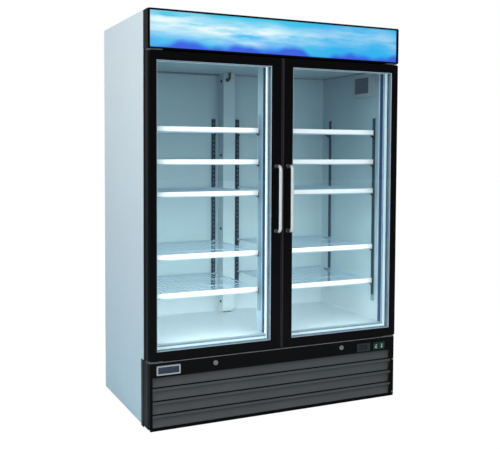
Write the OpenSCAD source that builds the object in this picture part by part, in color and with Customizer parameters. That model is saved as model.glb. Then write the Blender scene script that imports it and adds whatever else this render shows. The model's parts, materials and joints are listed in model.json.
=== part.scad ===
// Two-door refrigerated merchandiser with a sign box, ten wire shelves and a bottom condensing unit.
// Millimetres, +Z up, the doors face -Y. The origin is on the floor, at the centre of the whole box.
// Inside the modules y runs from the door faces (0) to the back, and to_frame() places it.

/* [Overall size] */
// Width over the side panels
body_w = 1400; // [1200:20:1700]
// Depth from the door faces to the back panel
body_d = 805; // [670:5:970]
// Height from the floor to the top
body_h = 2000; // [1900:10:2400]
// Height of the black fascia and the machine space behind it
plinth_h = 330; // [300:5:400]
// Height of the sign box
header_h = 187; // [120:1:240]
// Height of the feet
foot_h = 10; // [6:1:40]

/* [Walls] */
// Insulated wall at the sides
side_wall = 40; // [34:1:60]
// Insulated wall at the back
back_wall = 65; // [40:1:90]
// Insulated wall at the top
top_wall = 55; // [40:1:80]
// Insulated floor
floor_wall = 65; // [50:1:90]
// Outer sheet
sheet = 1; // [0.8:0.1:2]
// Inner liner
liner_t = 0.8; // [0.8:0.1:2]
// Distance from the sign box down to the cabin ceiling
ceil_drop = 26; // [20:1:60]
// Depth of the black side edge beside the doors
edge_door = 70; // [64:1:90]
// Depth of the sign box
header_d = 86; // [70:1:120]
// Depth of the fascia's sides
fascia_d = 98; // [80:1:120]
// Width of the long bevel on the upright front edges
bevel_w = 5; // [2:0.5:8]
// Depth of that bevel
bevel_d = 22; // [8:1:40]

/* [Doors] */
// Thickness of a door
door_t = 50; // [42:1:60]
// Gap between a door and the face frame
door_off = 8; // [5:0.5:12]
// Gap between the doors
door_mid_gap = 4; // [3:0.5:10]
// Gap above a door
door_top_gap = 8; // [6:0.5:15]
// Gap below a door
door_low_gap = 7; // [6:0.5:15]
// Width of the stile on the hinge side
hinge_stile = 40; // [34:1:60]
// Width of the stile on the handle side
handle_stile = 58; // [50:1:80]
// Height of the top rail
top_rail = 43; // [34:1:70]
// Height of the bottom rail
low_rail = 45; // [40:1:70]
// Radius of a door's corners, seen from the front
door_r = 12; // [4:1:30]
// Radius of a door's upright front edges
door_edge_r = 6; // [2:1:12]
// Thickness of a pane
pane_t = 4; // [3:0.5:6]
// Space between the panes
pane_gap = 12; // [8:1:16]
// How far the glass reaches behind the frame
glass_bite = 9; // [6:0.5:14]
// Front lip that holds the glass
glass_lip = 5; // [3:0.5:8]
// Width of the gasket
gasket_w = 16; // [10:1:20]
// Distance of the gasket from the door's edge
gasket_inset = 15; // [12:1:20]
// Hinge pin diameter
pin_d = 10; // [6:1:12]
// How far a hinge pin goes into the door
pin_len = 25; // [15:1:40]
// Distance of the hinge pin from the door's outer edge
pin_in = 15; // [12:1:24]
// Thickness of a hinge plate
hinge_t = 4; // [3:0.5:5]
// Play around a pin or plug
run_fit = 0.05; // [0.02:0.01:0.1]

/* [Handles and locks] */
// Handle tube diameter
handle_d = 16; // [10:1:22]
// How far a handle stands out
handle_out = 58; // [40:1:80]
// Distance between the handle's legs
handle_span = 328; // [200:1:500]
// Height of the handle's middle
handle_z = 1100; // [900:5:1200]
// Distance of the handle's legs from the door's free edge
handle_in = 31; // [20:1:40]
// Bend radius of the handle
handle_bend = 22; // [16:1:40]
// Distance of a lock from the middle of its door
lock_off = 9; // [-60:1:60]
// Height of the locks
lock_z = 300; // [290:1:310]
// Lock flange diameter
lock_d = 25; // [20:1:32]
// Lock barrel diameter
barrel_d = 19; // [16:0.5:20]
// Lock plug diameter
plug_d = 12; // [8:0.5:14]
// Depth of the lock barrel
barrel_len = 22; // [14:1:26]
// Reach of the lock's cam
cam_len = 50; // [46:1:54]
// Width of the cam
cam_w = 14; // [8:1:18]
// Thickness of the cam
cam_t = 3; // [2:0.5:4]

/* [Controls] */
// Width of the display's bezel
disp_w = 84; // [60:1:120]
// Height of the display's bezel
disp_h = 44; // [30:1:50]
// Distance of the display's middle from the right side
disp_in = 201; // [150:1:260]
// Height of the display and the switches
ctrl_z = 287; // [285:1:290]
// Width of a switch bezel
sw_w = 36; // [24:1:40]
// Height of a switch bezel
sw_h = 40; // [30:1:44]
// Distance of the right switch's middle from the right side
sw_in = 84; // [60:1:110]
// Distance between the switches
sw_pitch = 37; // [37:1:45]
// Rest tilt of a rocker
rock_tilt = 8; // [4:1:10]
// Badge width
badge_w = 120; // [60:1:160]
// Badge height
badge_h = 46; // [20:1:60]
// Distance of the badge's middle from the left side
badge_in = 98; // [90:1:200]

/* [Grille] */
// Height of the grille's upper edge
grille_top = 259; // [220:1:262]
// Height of the grille's lower edge
grille_low = 14; // [12:1:40]
// Distance between blades
blade_pitch = 65; // [40:1:90]
// Depth of a blade
blade_d = 25; // [15:1:40]
// Width of the fascia beside the grille
post_w = 18; // [16:1:40]

/* [Shelves] */
// Height of the first shelf, the top one
shelf_1 = 1443; // [1420:1:1460]
// Height of the second shelf
shelf_2 = 1282; // [1240:1:1320]
// Height of the third shelf
shelf_3 = 1122; // [1060:1:1180]
// Height of the fourth shelf
shelf_4 = 813; // [760:1:900]
// Height of the fifth shelf, the lowest
shelf_5 = 622; // [600:1:680]
// Distance of the shelves' lips from the door faces
shelf_front = 125; // [124:1:150]
// Gap between a shelf and the side wall
shelf_side = 32; // [26:1:40]
// Gap between a shelf and the centre line
shelf_mid = 74; // [70:1:90]
// Gap between a shelf and the rear wall
shelf_back = 18; // [16:1:30]
// Height of the ticket strip
lip_h = 28; // [20:1:40]
// Depth of the ticket strip
lip_d = 4; // [3:0.5:6]
// Deck wire diameter
wire_d = 3.2; // [2.5:0.1:5]
// Shelf rod diameter
rod_d = 6; // [5:0.5:8]
// Largest distance between deck wires
wire_pitch = 28; // [20:1:40]
// Width of a shelf standard
std_w = 20; // [16:1:26]
// Depth of a shelf standard
std_d = 12; // [8:1:14]
// Length of a shelf standard
std_len = 1020; // [960:20:1100]
// Height of a standard's lower end
std_low = 504; // [480:1:540]
// Distance between slots
slot_pitch = 25; // [20:1:40]
// Half width of the mullion behind the face frame
mull_half = 46; // [40:1:50]
// How far the mullion runs back past its standards
mull_past = 32; // [2:1:60]

/* [Cooling] */
// Condenser fan rotor diameter
cond_fan_d = 220; // [180:5:240]
// Height left free above and below the evaporator fan's ring
evap_fan_clear = 13; // [8:1:30]
// Compressor shell diameter
comp_d = 180; // [150:5:210]
// Compressor shell height
comp_h = 215; // [160:5:240]
// Condenser coil length
cond_len = 460; // [300:10:500]
// Evaporator coil length
evap_len = 600; // [400:10:700]
// Copper pipe diameter
pipe_d = 12; // [8:1:16]
// Rear duct width
duct_w = 72; // [60:1:100]
// Rear duct depth
duct_d = 80; // [60:1:90]
// Distance of the rear duct's middle from the centre line
duct_x = -8; // [-12:1:0]

/* [Hidden] */
$fn = 64;
eps = 1;
fit = 0.3;
half_w = body_w / 2;
front_y = (handle_out - body_d) / 2;
plinth_z = plinth_h;
header_z = body_h - header_h;
face_y = door_t + door_off;

// Inner sizes
in_x = half_w - side_wall;
in_y = body_d - back_wall;
in_floor = plinth_z + floor_wall;
in_top = body_h - top_wall;
ceil_z = header_z - ceil_drop - sheet;
plenum_h = in_top - ceil_z - sheet;
ceil_hole_w = duct_w - 14;

// Doors
door_z0 = plinth_z + door_low_gap;
door_h = header_z - door_top_gap - door_z0;
door_w = half_w - door_mid_gap / 2;
win_w = door_w - hinge_stile - handle_stile;
win_h = door_h - top_rail - low_rail;
unit_t = 2 * pane_t + pane_gap;
gasket_in = gasket_inset + gasket_w;
pin_y = door_t / 2;
handle_x = door_w - handle_in;
handle_y = handle_d / 2 - handle_out;
lock_x = door_mid_gap / 2 + door_w / 2 + lock_off;
cam_y = barrel_len + 2;
cam_slot = cam_t + 4;
cam_side = cam_w / 2 + 3;

// Face frame opening
open_x = half_w - gasket_in - 7;
open_low = door_z0 + gasket_in - 2;
open_top = door_z0 + door_h - gasket_in - 2;
mull_front = door_mid_gap / 2 + gasket_in + 2;
jamb_d = 50;

// Shelves
shelf_levels = [shelf_1, shelf_2, shelf_3, shelf_4, shelf_5];
shelf_x0 = shelf_mid;
shelf_x1 = in_x - shelf_side;
shelf_y0 = shelf_front;
shelf_y1 = in_y - shelf_back;
rod_y0 = shelf_y0 + lip_d + fit + rod_d / 2;
rod_y1 = shelf_y1 - rod_d / 2;
weld = 0.4;
deck_up = rod_d / 2 + wire_d / 2 - weld;
edge_up = rod_d - weld;
side_rod_low = edge_up - rod_d / 2;
wall_std_y = shelf_y0 + 20;
wall_std_back = in_y - 110;
mull_back = wall_std_y + std_w + mull_past;
rear_std_x = 76;
clip_t = 10;
clip_h = 26;
slot_w = 4;
slot_h = 14;

// Machine space
deck_t = 2;
floor_z = foot_h + deck_t;
panel_t = 2;
foot_d = 50;
stem_d = 12;
rear_step = 15;
back_in = body_d - rear_step - sheet;
chase_w = 60;
chase_d = 44;
chase_y = in_y - 58;
hose_d = 12;
inlet_x = half_w - 80;
inlet_z = 120;
inlet_d = 22;
hook_x = duct_x - 12;
hook_y = in_y - duct_d - 22;
hook_z = ceil_z - fit - 38;
comp_low = floor_z + 14;
comp_top = comp_low + comp_h;
stub_z = comp_top + 6;
stub_r = 40;
rock_y = 5;
screw_in = 11.5;
cond_x = -300;
cond_y = fascia_d + 12;
cond_z = floor_z + 18;
cond_h = 250;
cond_d = 50;
fan_z = cond_z + cond_h / 2;
fan_y = cond_y + cond_d + 6;
comp_x = 330;
comp_y = body_d - 285;
evap_y = in_y - 320;
evap_d = 140;
evap_h = plenum_h - 40;
ring_w = 8;
evap_fan_d = plenum_h - 2 * evap_fan_clear - 2 * ring_w;
evap_fan_y = evap_y - 70;
evap_fan_z = ceil_z + sheet + plenum_h / 2;
throat_d = 30;
motor_y = throat_d + 4;
shaft_d = 8;

// Places y measured from the door faces in the object's own frame
module to_frame() {
    translate([0, front_y, 0]) children();
}

// A box between two corners
module box(a, b) {
    translate(a) cube([b[0] - a[0], b[1] - a[1], b[2] - a[2]]);
}

// A box that lies the same on both sides of the centre line
module wide_box(x, y0, y1, z0, z1) {
    box([-x, y0, z0], [x, y1, z1]);
}

// The same piece on the left and the right
module both_sides() {
    children();
    mirror([1, 0, 0]) children();
}

// Rectangle with round corners, from the origin
module round_rect(w, h, r) {
    translate([r, 0]) square([w - 2 * r, h]);
    translate([0, r]) square([w, h - 2 * r]);
    for (x = [r, w - r], y = [r, h - r]) {
        translate([x, y]) circle(r = r);
    }
}

// Rectangle whose two corners at y = 0 have the long bevel
module bevel_front(w, h) {
    polygon([[bevel_w, 0], [w - bevel_w, 0], [w, bevel_d], [w, h], [0, h], [0, bevel_d]]);
}

// Rectangle whose two corners at y = 0 are round
module round_front(w, h, r) {
    translate([r, 0]) square([w - 2 * r, h]);
    translate([0, r]) square([w, h - r]);
    for (x = [r, w - r]) {
        translate([x, r]) circle(r = r);
    }
}

// A flat outline in x and z, made thick towards +y from y
module plate_xz(y, t) {
    translate([0, y + t, 0]) rotate([90, 0, 0]) linear_extrude(t) children();
}

// An outline in y and z, made thick towards +x from x
module plate_yz(x, t) {
    translate([x, 0, 0]) rotate([90, 0, 90]) linear_extrude(t) children();
}

// A round rod along x
module rod_x(x0, x1, y, z, d) {
    translate([x0, y, z]) rotate([0, 90, 0]) cylinder(h = x1 - x0, d = d);
}

// A round rod along y
module rod_y(y0, y1, x, z, d) {
    translate([x, y0, z]) rotate([-90, 0, 0]) cylinder(h = y1 - y0, d = d);
}

// A round rod between two points
module rod(a, b, d) {
    v = b - a;
    len = norm(v);
    translate(a) rotate([0, acos(v[2] / len), atan2(v[1], v[0])]) cylinder(h = len, d = d);
}

// A pipe through points, with a soldered elbow at each corner
module pipe_run(points, d) {
    for (i = [0:len(points) - 2]) {
        rod(points[i], points[i + 1], d);
    }
    for (i = [1:len(points) - 2]) {
        translate(points[i]) sphere(d = d * 1.3);
    }
}

// White steel shell: left side, top and right side
module outer_wrapper() {
    color("#dfe8ec") to_frame() difference() {
        wide_box(half_w, edge_door, body_d - sheet, floor_z, body_h);
        wide_box(half_w - sheet, edge_door - eps, body_d, floor_z - eps, body_h - sheet);
        wide_box(half_w + eps, edge_door - eps, header_d, header_z, body_h + eps);
        wide_box(half_w + eps, edge_door - eps, fascia_d, floor_z - eps, plinth_z);
    }
}

// Rear sheet, stepped in behind the machine space, with vent slots
module back_panel() {
    step_z = plinth_z - 8;
    vents = 12;
    vent_in = 120;
    vent_l = 60;
    vent_h = 8;
    vent_z = 60;
    vent_pitch = 80;
    color("#b9c0c4") to_frame() difference() {
        union() {
            wide_box(half_w, body_d - sheet, body_d, step_z, body_h);
            wide_box(half_w - sheet - fit, back_in, body_d, step_z, step_z + sheet);
            wide_box(half_w - sheet - fit, back_in, back_in + sheet, floor_z, step_z + sheet);
        }
        for (i = [0:vents - 1], row = [0:2]) {
            x = -half_w + vent_in + i * (body_w - 2 * vent_in - vent_l) / (vents - 1);
            z = vent_z + row * vent_pitch;
            box([x, back_in - eps, z], [x + vent_l, back_in + sheet + eps, z + vent_h]);
        }
        rod_y(back_in - eps, back_in + sheet + eps, inlet_x, inlet_z, inlet_d + 2 * fit);
    }
}

// Foam between the sheets and the liner
module foam_insulation() {
    out_x = half_w - sheet;
    lt = liner_t;
    color("#e8e2c0") to_frame() difference() {
        union() {
            wide_box(out_x, edge_door + lt, body_d - sheet, plinth_z, header_z);
            wide_box(out_x, header_d + lt, body_d - sheet, header_z - eps, body_h - sheet);
        }
        wide_box(in_x + lt, edge_door, in_y + lt, in_floor - lt, header_z);
        wide_box(in_x + lt, header_d, in_y + lt, header_z - eps, in_top + lt);
        box([duct_x - chase_w / 2, chase_y, plinth_z - eps],
            [duct_x + chase_w / 2, chase_y + chase_d, in_floor]);
    }
}

// White liner with its front flange and sill
module inner_liner() {
    lt = liner_t;
    flange = 12;
    sill_z = open_low - 14;
    color("#f2f6f7") to_frame() difference() {
        union() {
            wide_box(in_x + lt, edge_door, in_y + lt, in_floor - lt, header_z);
            wide_box(in_x + lt, header_d + lt, in_y + lt, header_z - eps, in_top + lt);
            wide_box(in_x + flange, edge_door, edge_door + lt, sill_z, header_z);
        }
        wide_box(in_x, edge_door - eps, in_y, in_floor, header_z - lt);
        wide_box(in_x, header_d + 2 * lt, in_y, header_z - 2 * lt, in_top);
        box([duct_x - chase_w / 2, chase_y, in_floor - 2 * lt],
            [duct_x + chase_w / 2, chase_y + chase_d, in_floor + eps]);
    }
}

// Black frame that the gaskets close on, with its jamb linings
module face_frame() {
    lining = 2;
    color("#15181b") to_frame() {
        difference() {
            wide_box(half_w, face_y, edge_door, plinth_z, header_z);
            wide_box(open_x, face_y - eps, edge_door + eps, open_low, open_top);
        }
        both_sides() {
            box([in_x - lining, edge_door, in_floor], [in_x, edge_door + jamb_d, ceil_z - fit]);
        }
    }
}

// Post between the two openings
module centre_mullion() {
    color("#1b2024") to_frame() {
        wide_box(mull_front, face_y, edge_door, open_low, open_top);
        wide_box(mull_half, edge_door + liner_t, mull_back, in_floor, ceil_z - fit);
        wide_box(mull_front - 10, edge_door, edge_door + liner_t, in_floor, open_top);
    }
}

// Black sign box with a front lip
module header_frame() {
    lip = 8;
    lip_deep = 10;
    wall = 2;
    corner_r = 5;
    color("#101214") to_frame() difference() {
        intersection() {
            translate([-half_w, 0, header_z]) linear_extrude(header_h) bevel_front(body_w, header_d);
            translate([-half_w, 0, header_z]) plate_xz(0, header_d)
                round_rect(body_w, header_h, corner_r);
        }
        wide_box(half_w - lip, -eps, lip_deep + eps, header_z + lip, body_h - lip);
        translate([wall - half_w, lip_deep, header_z + wall]) linear_extrude(header_h - 2 * wall)
            bevel_front(body_w - 2 * wall, header_d - wall - lip_deep);
    }
}

// Translucent sign sheet behind the lip
module sign_panel() {
    gap = 2 + fit;
    color("#7fd4f5") to_frame()
        wide_box(half_w - bevel_w - gap, 10, 13, header_z + gap, body_h - gap);
}

// Two lamps behind the sign and a strip on each side of the mullion
module light_tubes() {
    lamp_d = 26;
    lamp_y = header_d - 34;
    strip_w = 10;
    strip_d = 14;
    strip_low = in_floor + 3;
    strip_top = ceil_z - 4;
    strip_y = edge_door + 3;
    color("#fbfdff") to_frame() {
        for (z = [header_z + 50, body_h - 50]) {
            rod_x(-half_w + 70, half_w - 70, lamp_y, z, lamp_d);
            both_sides() {
                box([half_w - 70, lamp_y - 16, z - 20], [half_w - 48, header_d - 2, z + 20]);
            }
        }
        both_sides() {
            box([mull_half, strip_y, strip_low], [mull_half + strip_w, strip_y + strip_d, strip_top]);
        }
    }
}

// Black chassis: tray, upstands, posts and the deck under the insulated box
module base_frame() {
    out_x = half_w - sheet;
    post = 30;
    up_h = 50;
    color("#22262a") to_frame() difference() {
        union() {
            wide_box(half_w, fascia_d, body_d - sheet, foot_h, floor_z);
            wide_box(out_x, fascia_d, body_d - sheet, plinth_z - deck_t, plinth_z);
            both_sides() {
                box([out_x - 2, fascia_d, foot_h], [out_x, back_in - fit, foot_h + up_h]);
                for (y = [fascia_d, back_in - fit - post]) {
                    box([out_x - post, y, foot_h], [out_x, y + post, plinth_z]);
                }
            }
        }
        box([duct_x - chase_w / 2, chase_y, plinth_z - deck_t - eps],
            [duct_x + chase_w / 2, chase_y + chase_d, plinth_z + eps]);
        foot_places(foot_h - eps) cylinder(h = up_h, d = stem_d + 2 * fit);
    }
}

// The four feet's places at height z
module foot_places(z) {
    for (x = [-half_w + 60, half_w - 60], y = [fascia_d + 60, body_d - 70]) {
        translate([x, y, z]) children();
    }
}

// The cam's slot, seen from above, at one lock
module cam_window(z0, z1) {
    for (side = [-1, 1]) {
        a = side * (lock_x - cam_side);
        b = side * (lock_x + cam_len);
        box([min(a, b), cam_y - 2, z0], [max(a, b), cam_y - 2 + cam_slot, z1]);
    }
}

// Black front of the machine space: control strip, round corner posts, ledge and sill
module lower_fascia() {
    t = panel_t;
    zh = plinth_z - foot_h;
    color("#121416") to_frame() difference() {
        union() {
            difference() {
                translate([-half_w, 0, foot_h]) linear_extrude(zh) bevel_front(body_w, fascia_d);
                translate([t - half_w, t, foot_h - eps]) linear_extrude(zh + eps - t)
                    bevel_front(body_w - 2 * t, fascia_d);
            }
            wide_box(half_w - bevel_w, 0, fascia_d - fit, foot_h, foot_h + t);
        }
        wide_box(half_w - post_w, -eps, t + eps, grille_low, grille_top);
        cam_window(plinth_z - t - eps, plinth_z + eps);
        for (x = [-lock_x, lock_x]) {
            rod_y(-eps, t + eps, x, lock_z, barrel_d + 2 * fit);
        }
        display_cut(half_w - disp_in, disp_w - 8 + 2 * fit, disp_h - 8 + 2 * fit, t);
        for (i = [0, 1]) {
            display_cut(half_w - sw_in - i * sw_pitch, sw_w - 8 + 2 * fit, sw_h - 6 + 2 * fit, t);
        }
        for (z = screw_levels()) {
            rod_y(-eps, t + eps, half_w - screw_in, z, 4 + 2 * fit);
        }
    }
}

// Heights of the fascia's screws
function screw_levels() = [grille_top - 55, grille_low + 10];

// A square cut through the fascia for a control
module display_cut(x, w, h, t) {
    box([x - w / 2, -eps, ctrl_z - h / 2], [x + w / 2, t + eps, ctrl_z + h / 2]);
}

// Four slanted blades between two end plates
module front_grille() {
    t = 2;
    over = 8;
    y0 = 3;
    out_x = half_w - post_w - 0.5;
    ear = 4;
    blades = ceil((grille_top - grille_low) / blade_pitch);
    color("#4f5558") to_frame() {
        for (i = [0:blades - 1]) {
            top = grille_top - i * blade_pitch;
            low = max(top - blade_pitch, grille_low + 1);
            up = i == 0 ? top - 1 : top + over;
            plate_yz(-out_x, 2 * out_x) polygon([
                [y0, low], [y0 + 9, low], [y0 + 9, low + t], [y0 + t, low + t],
                [y0 + t, low + 7], [y0 + blade_d, up], [y0 + blade_d - t, up], [y0, low + 7]
            ]);
        }
        both_sides() {
            box([out_x - t, y0 + t, grille_low + 1], [out_x, y0 + blade_d + 8, grille_top - 1]);
            box([out_x - t, panel_t + fit, grille_low + 8], [out_x + ear, y0 + 1, grille_top - 8]);
        }
    }
}

// Bare badge on the control strip
module badge_plate() {
    x = -half_w + badge_in;
    color("#c9ccce") to_frame() translate([x - badge_w / 2, 0, ctrl_z + 5 - badge_h / 2])
        plate_xz(-1.5, 1.5) round_rect(badge_w, badge_h, 4);
}

// Display bezel with its body behind the fascia
module temperature_display() {
    x = half_w - disp_in;
    win_in = 14;
    color("#1c2024") to_frame() difference() {
        union() {
            translate([x - disp_w / 2, 0, ctrl_z - disp_h / 2])
                plate_xz(-3, 3) round_rect(disp_w, disp_h, 4);
            box([x - disp_w / 2 + 4, 0, ctrl_z - disp_h / 2 + 4],
                [x + disp_w / 2 - 4, 55, ctrl_z + disp_h / 2 - 4]);
        }
        translate([x - disp_w / 2 + win_in, 0, ctrl_z - disp_h / 2 + 10])
            plate_xz(-3 - eps, eps + 1) square([disp_w - 2 * win_in - 8, disp_h - 20]);
    }
}

// Two open housings for the rockers, with bores for their pivots
module switch_housings() {
    color("#181b1d") to_frame() {
        for (i = [0, 1]) {
            translate([half_w - sw_in - i * sw_pitch, 0, ctrl_z]) difference() {
                union() {
                    translate([-sw_w / 2, 0, -sw_h / 2]) plate_xz(-2, 2) round_rect(sw_w, sw_h, 3);
                    box([-sw_w / 2 + 4, 0, -sw_h / 2 + 3], [sw_w / 2 - 4, 30, sw_h / 2 - 3]);
                }
                box([-sw_w / 2 + 6, -3, -sw_h / 2 + 5], [sw_w / 2 - 6, 22, sw_h / 2 - 5]);
                rod_x(-sw_w / 2 + 3, sw_w / 2 - 3, rock_y, 0, 3 + 2 * run_fit);
            }
        }
    }
}

// One green rocker on its pivot pins, at rest tilted in at the top
module rocker(i) {
    half = sw_h / 2 - 5;
    tip = half - 1.6;
    width = sw_w - 12 - 1;
    color("#1f9a62") to_frame()
        translate([half_w - sw_in - i * sw_pitch, rock_y, ctrl_z]) rotate([rock_tilt, 0, 0]) {
            plate_yz(-width / 2, width) polygon([
                [-7, tip], [-5, 0], [-7, -tip], [0, -tip], [5, 0], [0, tip]
            ]);
            rod_x(-sw_w / 2 + 4, sw_w / 2 - 4, 0, 0, 3);
        }
}

module left_rocker() {
    rocker(1);
}

module right_rocker() {
    rocker(0);
}

// Two round lock barrels in the fascia
module lock_barrels() {
    color("#c6cacd") to_frame() {
        for (x = [-lock_x, lock_x]) {
            difference() {
                union() {
                    rod_y(-2.5, 0, x, lock_z, lock_d);
                    rod_y(-1, barrel_len, x, lock_z, barrel_d);
                    rod_y(2 + fit, 5, x, lock_z, barrel_d + 6);
                }
                rod_y(-3, barrel_len + eps, x, lock_z, plug_d + 2 * run_fit);
            }
        }
    }
}

// Lock plug with a key slot and a cam that lies flat when the door is free
module lock_plug(side) {
    color("#aeb3b6") to_frame() translate([side * lock_x, 0, lock_z]) {
        difference() {
            rod_y(-2.5, cam_y, 0, 0, plug_d);
            box([-0.8, -3, -4], [0.8, 3, 4]);
        }
        scale([side, 1, 1]) {
            rod_y(cam_y - eps, cam_y + cam_t, 0, 0, cam_w);
            box([0, cam_y, -cam_w / 2], [cam_len, cam_y + cam_t, cam_w / 2]);
        }
    }
}

module left_lock_plug() {
    lock_plug(-1);
}

module right_lock_plug() {
    lock_plug(1);
}

// One slotted standard: its back lies on x = 0, its slots face +x, its middle is y = 0
module standard() {
    t = 1.5;
    slots = floor((std_len - 20) / slot_pitch);
    plate_yz(std_d - t, t) difference() {
        translate([-std_w / 2, 0]) square([std_w, std_len]);
        for (i = [0:slots - 1]) {
            translate([-slot_w / 2, 12 + i * slot_pitch]) square([slot_w, slot_h]);
        }
    }
    for (y = [-std_w / 2, std_w / 2 - t]) {
        box([0, y, 0], [std_d, y + t, std_len]);
    }
}

// Slotted standards on the side walls, the mullion and the rear wall
module shelf_standards() {
    color("#3a444a") to_frame() both_sides() {
        for (y = [wall_std_y + std_w / 2, wall_std_back]) {
            translate([in_x, y, std_low]) mirror([1, 0, 0]) standard();
        }
        translate([mull_half, wall_std_y + std_w / 2, std_low]) standard();
        translate([rear_std_x, in_y, std_low]) rotate([0, 0, -90]) standard();
    }
}

// Gusset that carries a shelf: it stands on x = 0, points to +x, and its top is z = 0
module clip(reach) {
    translate([0, clip_t / 2, 0]) rotate([90, 0, 0]) linear_extrude(clip_t)
        polygon([[0, 0], [reach, 0], [reach, -4], [4, -clip_h], [0, -clip_h]]);
}

// Four clips under each shelf
module shelf_clips() {
    bearing = 14;
    wall_reach = shelf_side - std_d + bearing;
    mull_reach = shelf_mid - mull_half - std_d + bearing;
    rear_reach = shelf_back - std_d + bearing;
    color("#2c3338") to_frame() both_sides() {
        for (z = shelf_levels) {
            top_side = z + side_rod_low - fit;
            top_rod = z - rod_d / 2 - fit;
            for (y = [wall_std_y + std_w / 2, wall_std_back]) {
                translate([in_x - std_d, y, top_side]) mirror([1, 0, 0]) clip(wall_reach);
            }
            translate([mull_half + std_d, wall_std_y + std_w / 2, top_side]) clip(mull_reach);
            translate([rear_std_x, in_y - std_d, top_rod]) rotate([0, 0, -90]) clip(rear_reach);
        }
    }
}

// One wire shelf with its ticket strip, right of the centre line
module shelf(z) {
    lip_low = z - lip_h / 2;
    lip_t = 1.5;
    span = shelf_x1 - shelf_x0 - rod_d;
    wires = ceil(span / wire_pitch) - 1;
    color("#f4f8f9") to_frame() {
        for (i = [0:3]) {
            y = rod_y0 + i * (rod_y1 - rod_y0) / 3;
            d = i == 0 || i == 3 ? rod_d : rod_d - 1;
            rod_x(shelf_x0, shelf_x1, y, z + (rod_d - d) / 2, d);
        }
        for (i = [1:wires]) {
            x = shelf_x0 + rod_d / 2 + i * span / (wires + 1);
            rod_y(rod_y0 - 2, rod_y1 + 2, x, z + deck_up, wire_d);
        }
        for (x = [shelf_x0 + rod_d / 2 + 1, shelf_x1 - rod_d / 2 - 1]) {
            rod_y(rod_y0 - 2, rod_y1 + 2, x, z + edge_up, rod_d);
        }
        plate_yz(shelf_x0, shelf_x1 - shelf_x0) polygon([
            [shelf_y0, lip_low], [shelf_y0 + lip_d, lip_low],
            [shelf_y0 + lip_d, lip_low + lip_h], [shelf_y0, lip_low + lip_h],
            [shelf_y0, lip_low + lip_h - lip_t], [shelf_y0 + lip_d - lip_t, lip_low + lip_h - lip_t],
            [shelf_y0 + lip_d - lip_t, lip_low + lip_t], [shelf_y0, lip_low + lip_t]
        ]);
    }
}

// The shelves by number, counted from the top
module left_shelf(i) {
    mirror([1, 0, 0]) shelf(shelf_levels[i - 1]);
}

module right_shelf(i) {
    shelf(shelf_levels[i - 1]);
}

// Duct on the rear wall, open at the back, with a round lower front edge
module rear_duct() {
    t = 1.5;
    r = 40;
    h = ceil_z - in_floor - fit;
    color("#dfe9ec") to_frame() translate([duct_x, in_y, in_floor]) difference() {
        plate_yz(-duct_w / 2, duct_w) duct_side(duct_d, h, r);
        plate_yz(-duct_w / 2 + t, duct_w - 2 * t) translate([eps, t])
            duct_side(duct_d + eps - t, h, r - t);
        box([-chase_w / 2, chase_y - in_y, -eps], [chase_w / 2, chase_y - in_y + chase_d, r / 4]);
        rod_y(-duct_d - eps, -duct_d + t + eps, hook_x - duct_x, hook_z - in_floor, hose_d + 2 * fit);
    }
}

// Side outline of the duct: depth w towards -y, height h, lower front corner round
module duct_side(w, h, r) {
    translate([-w, r]) square([w, h - r]);
    translate([-w + r, 0]) square([w - r, r + eps]);
    translate([-w + r, r]) circle(r = r);
}

// Cabin ceiling under the evaporator, with intake slots, outlet slots and a pipe opening
module ceiling_cover() {
    x = in_x - fit;
    y0 = edge_door + liner_t + 1;
    slots = 8;
    slot_l = 130;
    slot_in = 60;
    row_pitch = 22;
    color("#dbe5e9") to_frame() difference() {
        union() {
            wide_box(x, y0, in_y - 2, ceil_z, ceil_z + sheet);
            wide_box(x, y0, y0 + sheet, ceil_z, header_z - liner_t - fit);
        }
        for (i = [0:slots - 1], row = [0:3]) {
            sx = -in_x + slot_in + i * (2 * in_x - 2 * slot_in - slot_l) / (slots - 1);
            sy = y0 + slot_in + row * row_pitch;
            box([sx, sy, ceil_z - eps], [sx + slot_l, sy + row_pitch / 2, ceil_z + sheet + eps]);
        }
        both_sides() {
            box([duct_w / 2 + 30, in_y - 26, ceil_z - eps],
                [in_x - 30, in_y - 12, ceil_z + sheet + eps]);
        }
        box([duct_x - ceil_hole_w / 2, chase_y, ceil_z - eps],
            [duct_x + ceil_hole_w / 2, chase_y + chase_d, ceil_z + sheet + eps]);
        translate([hook_x, hook_y, ceil_z - eps]) cylinder(h = 6, d = hose_d + 2 * fit);
    }
}

// Finned coil along x: its lower front left corner is the origin
module finned_coil(len, deep, high, fins, rows, cols, tube_d) {
    end_t = 2;
    fin_t = 0.8;
    for (x = [0, len - end_t]) {
        box([x, 0, 0], [x + end_t, deep, high]);
    }
    for (i = [1:fins]) {
        x = end_t + i * (len - 2 * end_t) / (fins + 1);
        box([x, 2, 2], [x + fin_t, deep - 2, high - 2]);
    }
    for (r = [0:rows - 1], c = [0:cols - 1]) {
        rod_x(-12, len + 12, (c + 0.5) * deep / cols, (r + 0.5) * high / rows, tube_d);
    }
}

// Evaporator above the ceiling cover
module evaporator_coil() {
    color("#b8bfc4") to_frame()
        translate([-evap_len / 2, evap_y, ceil_z + sheet])
            finned_coil(evap_len, evap_d, evap_h, 24, 3, 3, 10);
}

// Condenser behind the grille, on its two feet
module condenser_coil() {
    color("#8a9298") to_frame() {
        translate([cond_x - cond_len / 2, cond_y, cond_z])
            finned_coil(cond_len, cond_d, cond_h, 24, 5, 2, 9);
        for (x = [cond_x - cond_len / 2, cond_x + cond_len / 2 - 20]) {
            box([x, cond_y, floor_z], [x + 20, cond_y + cond_d, cond_z + 1]);
        }
    }
}

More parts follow.
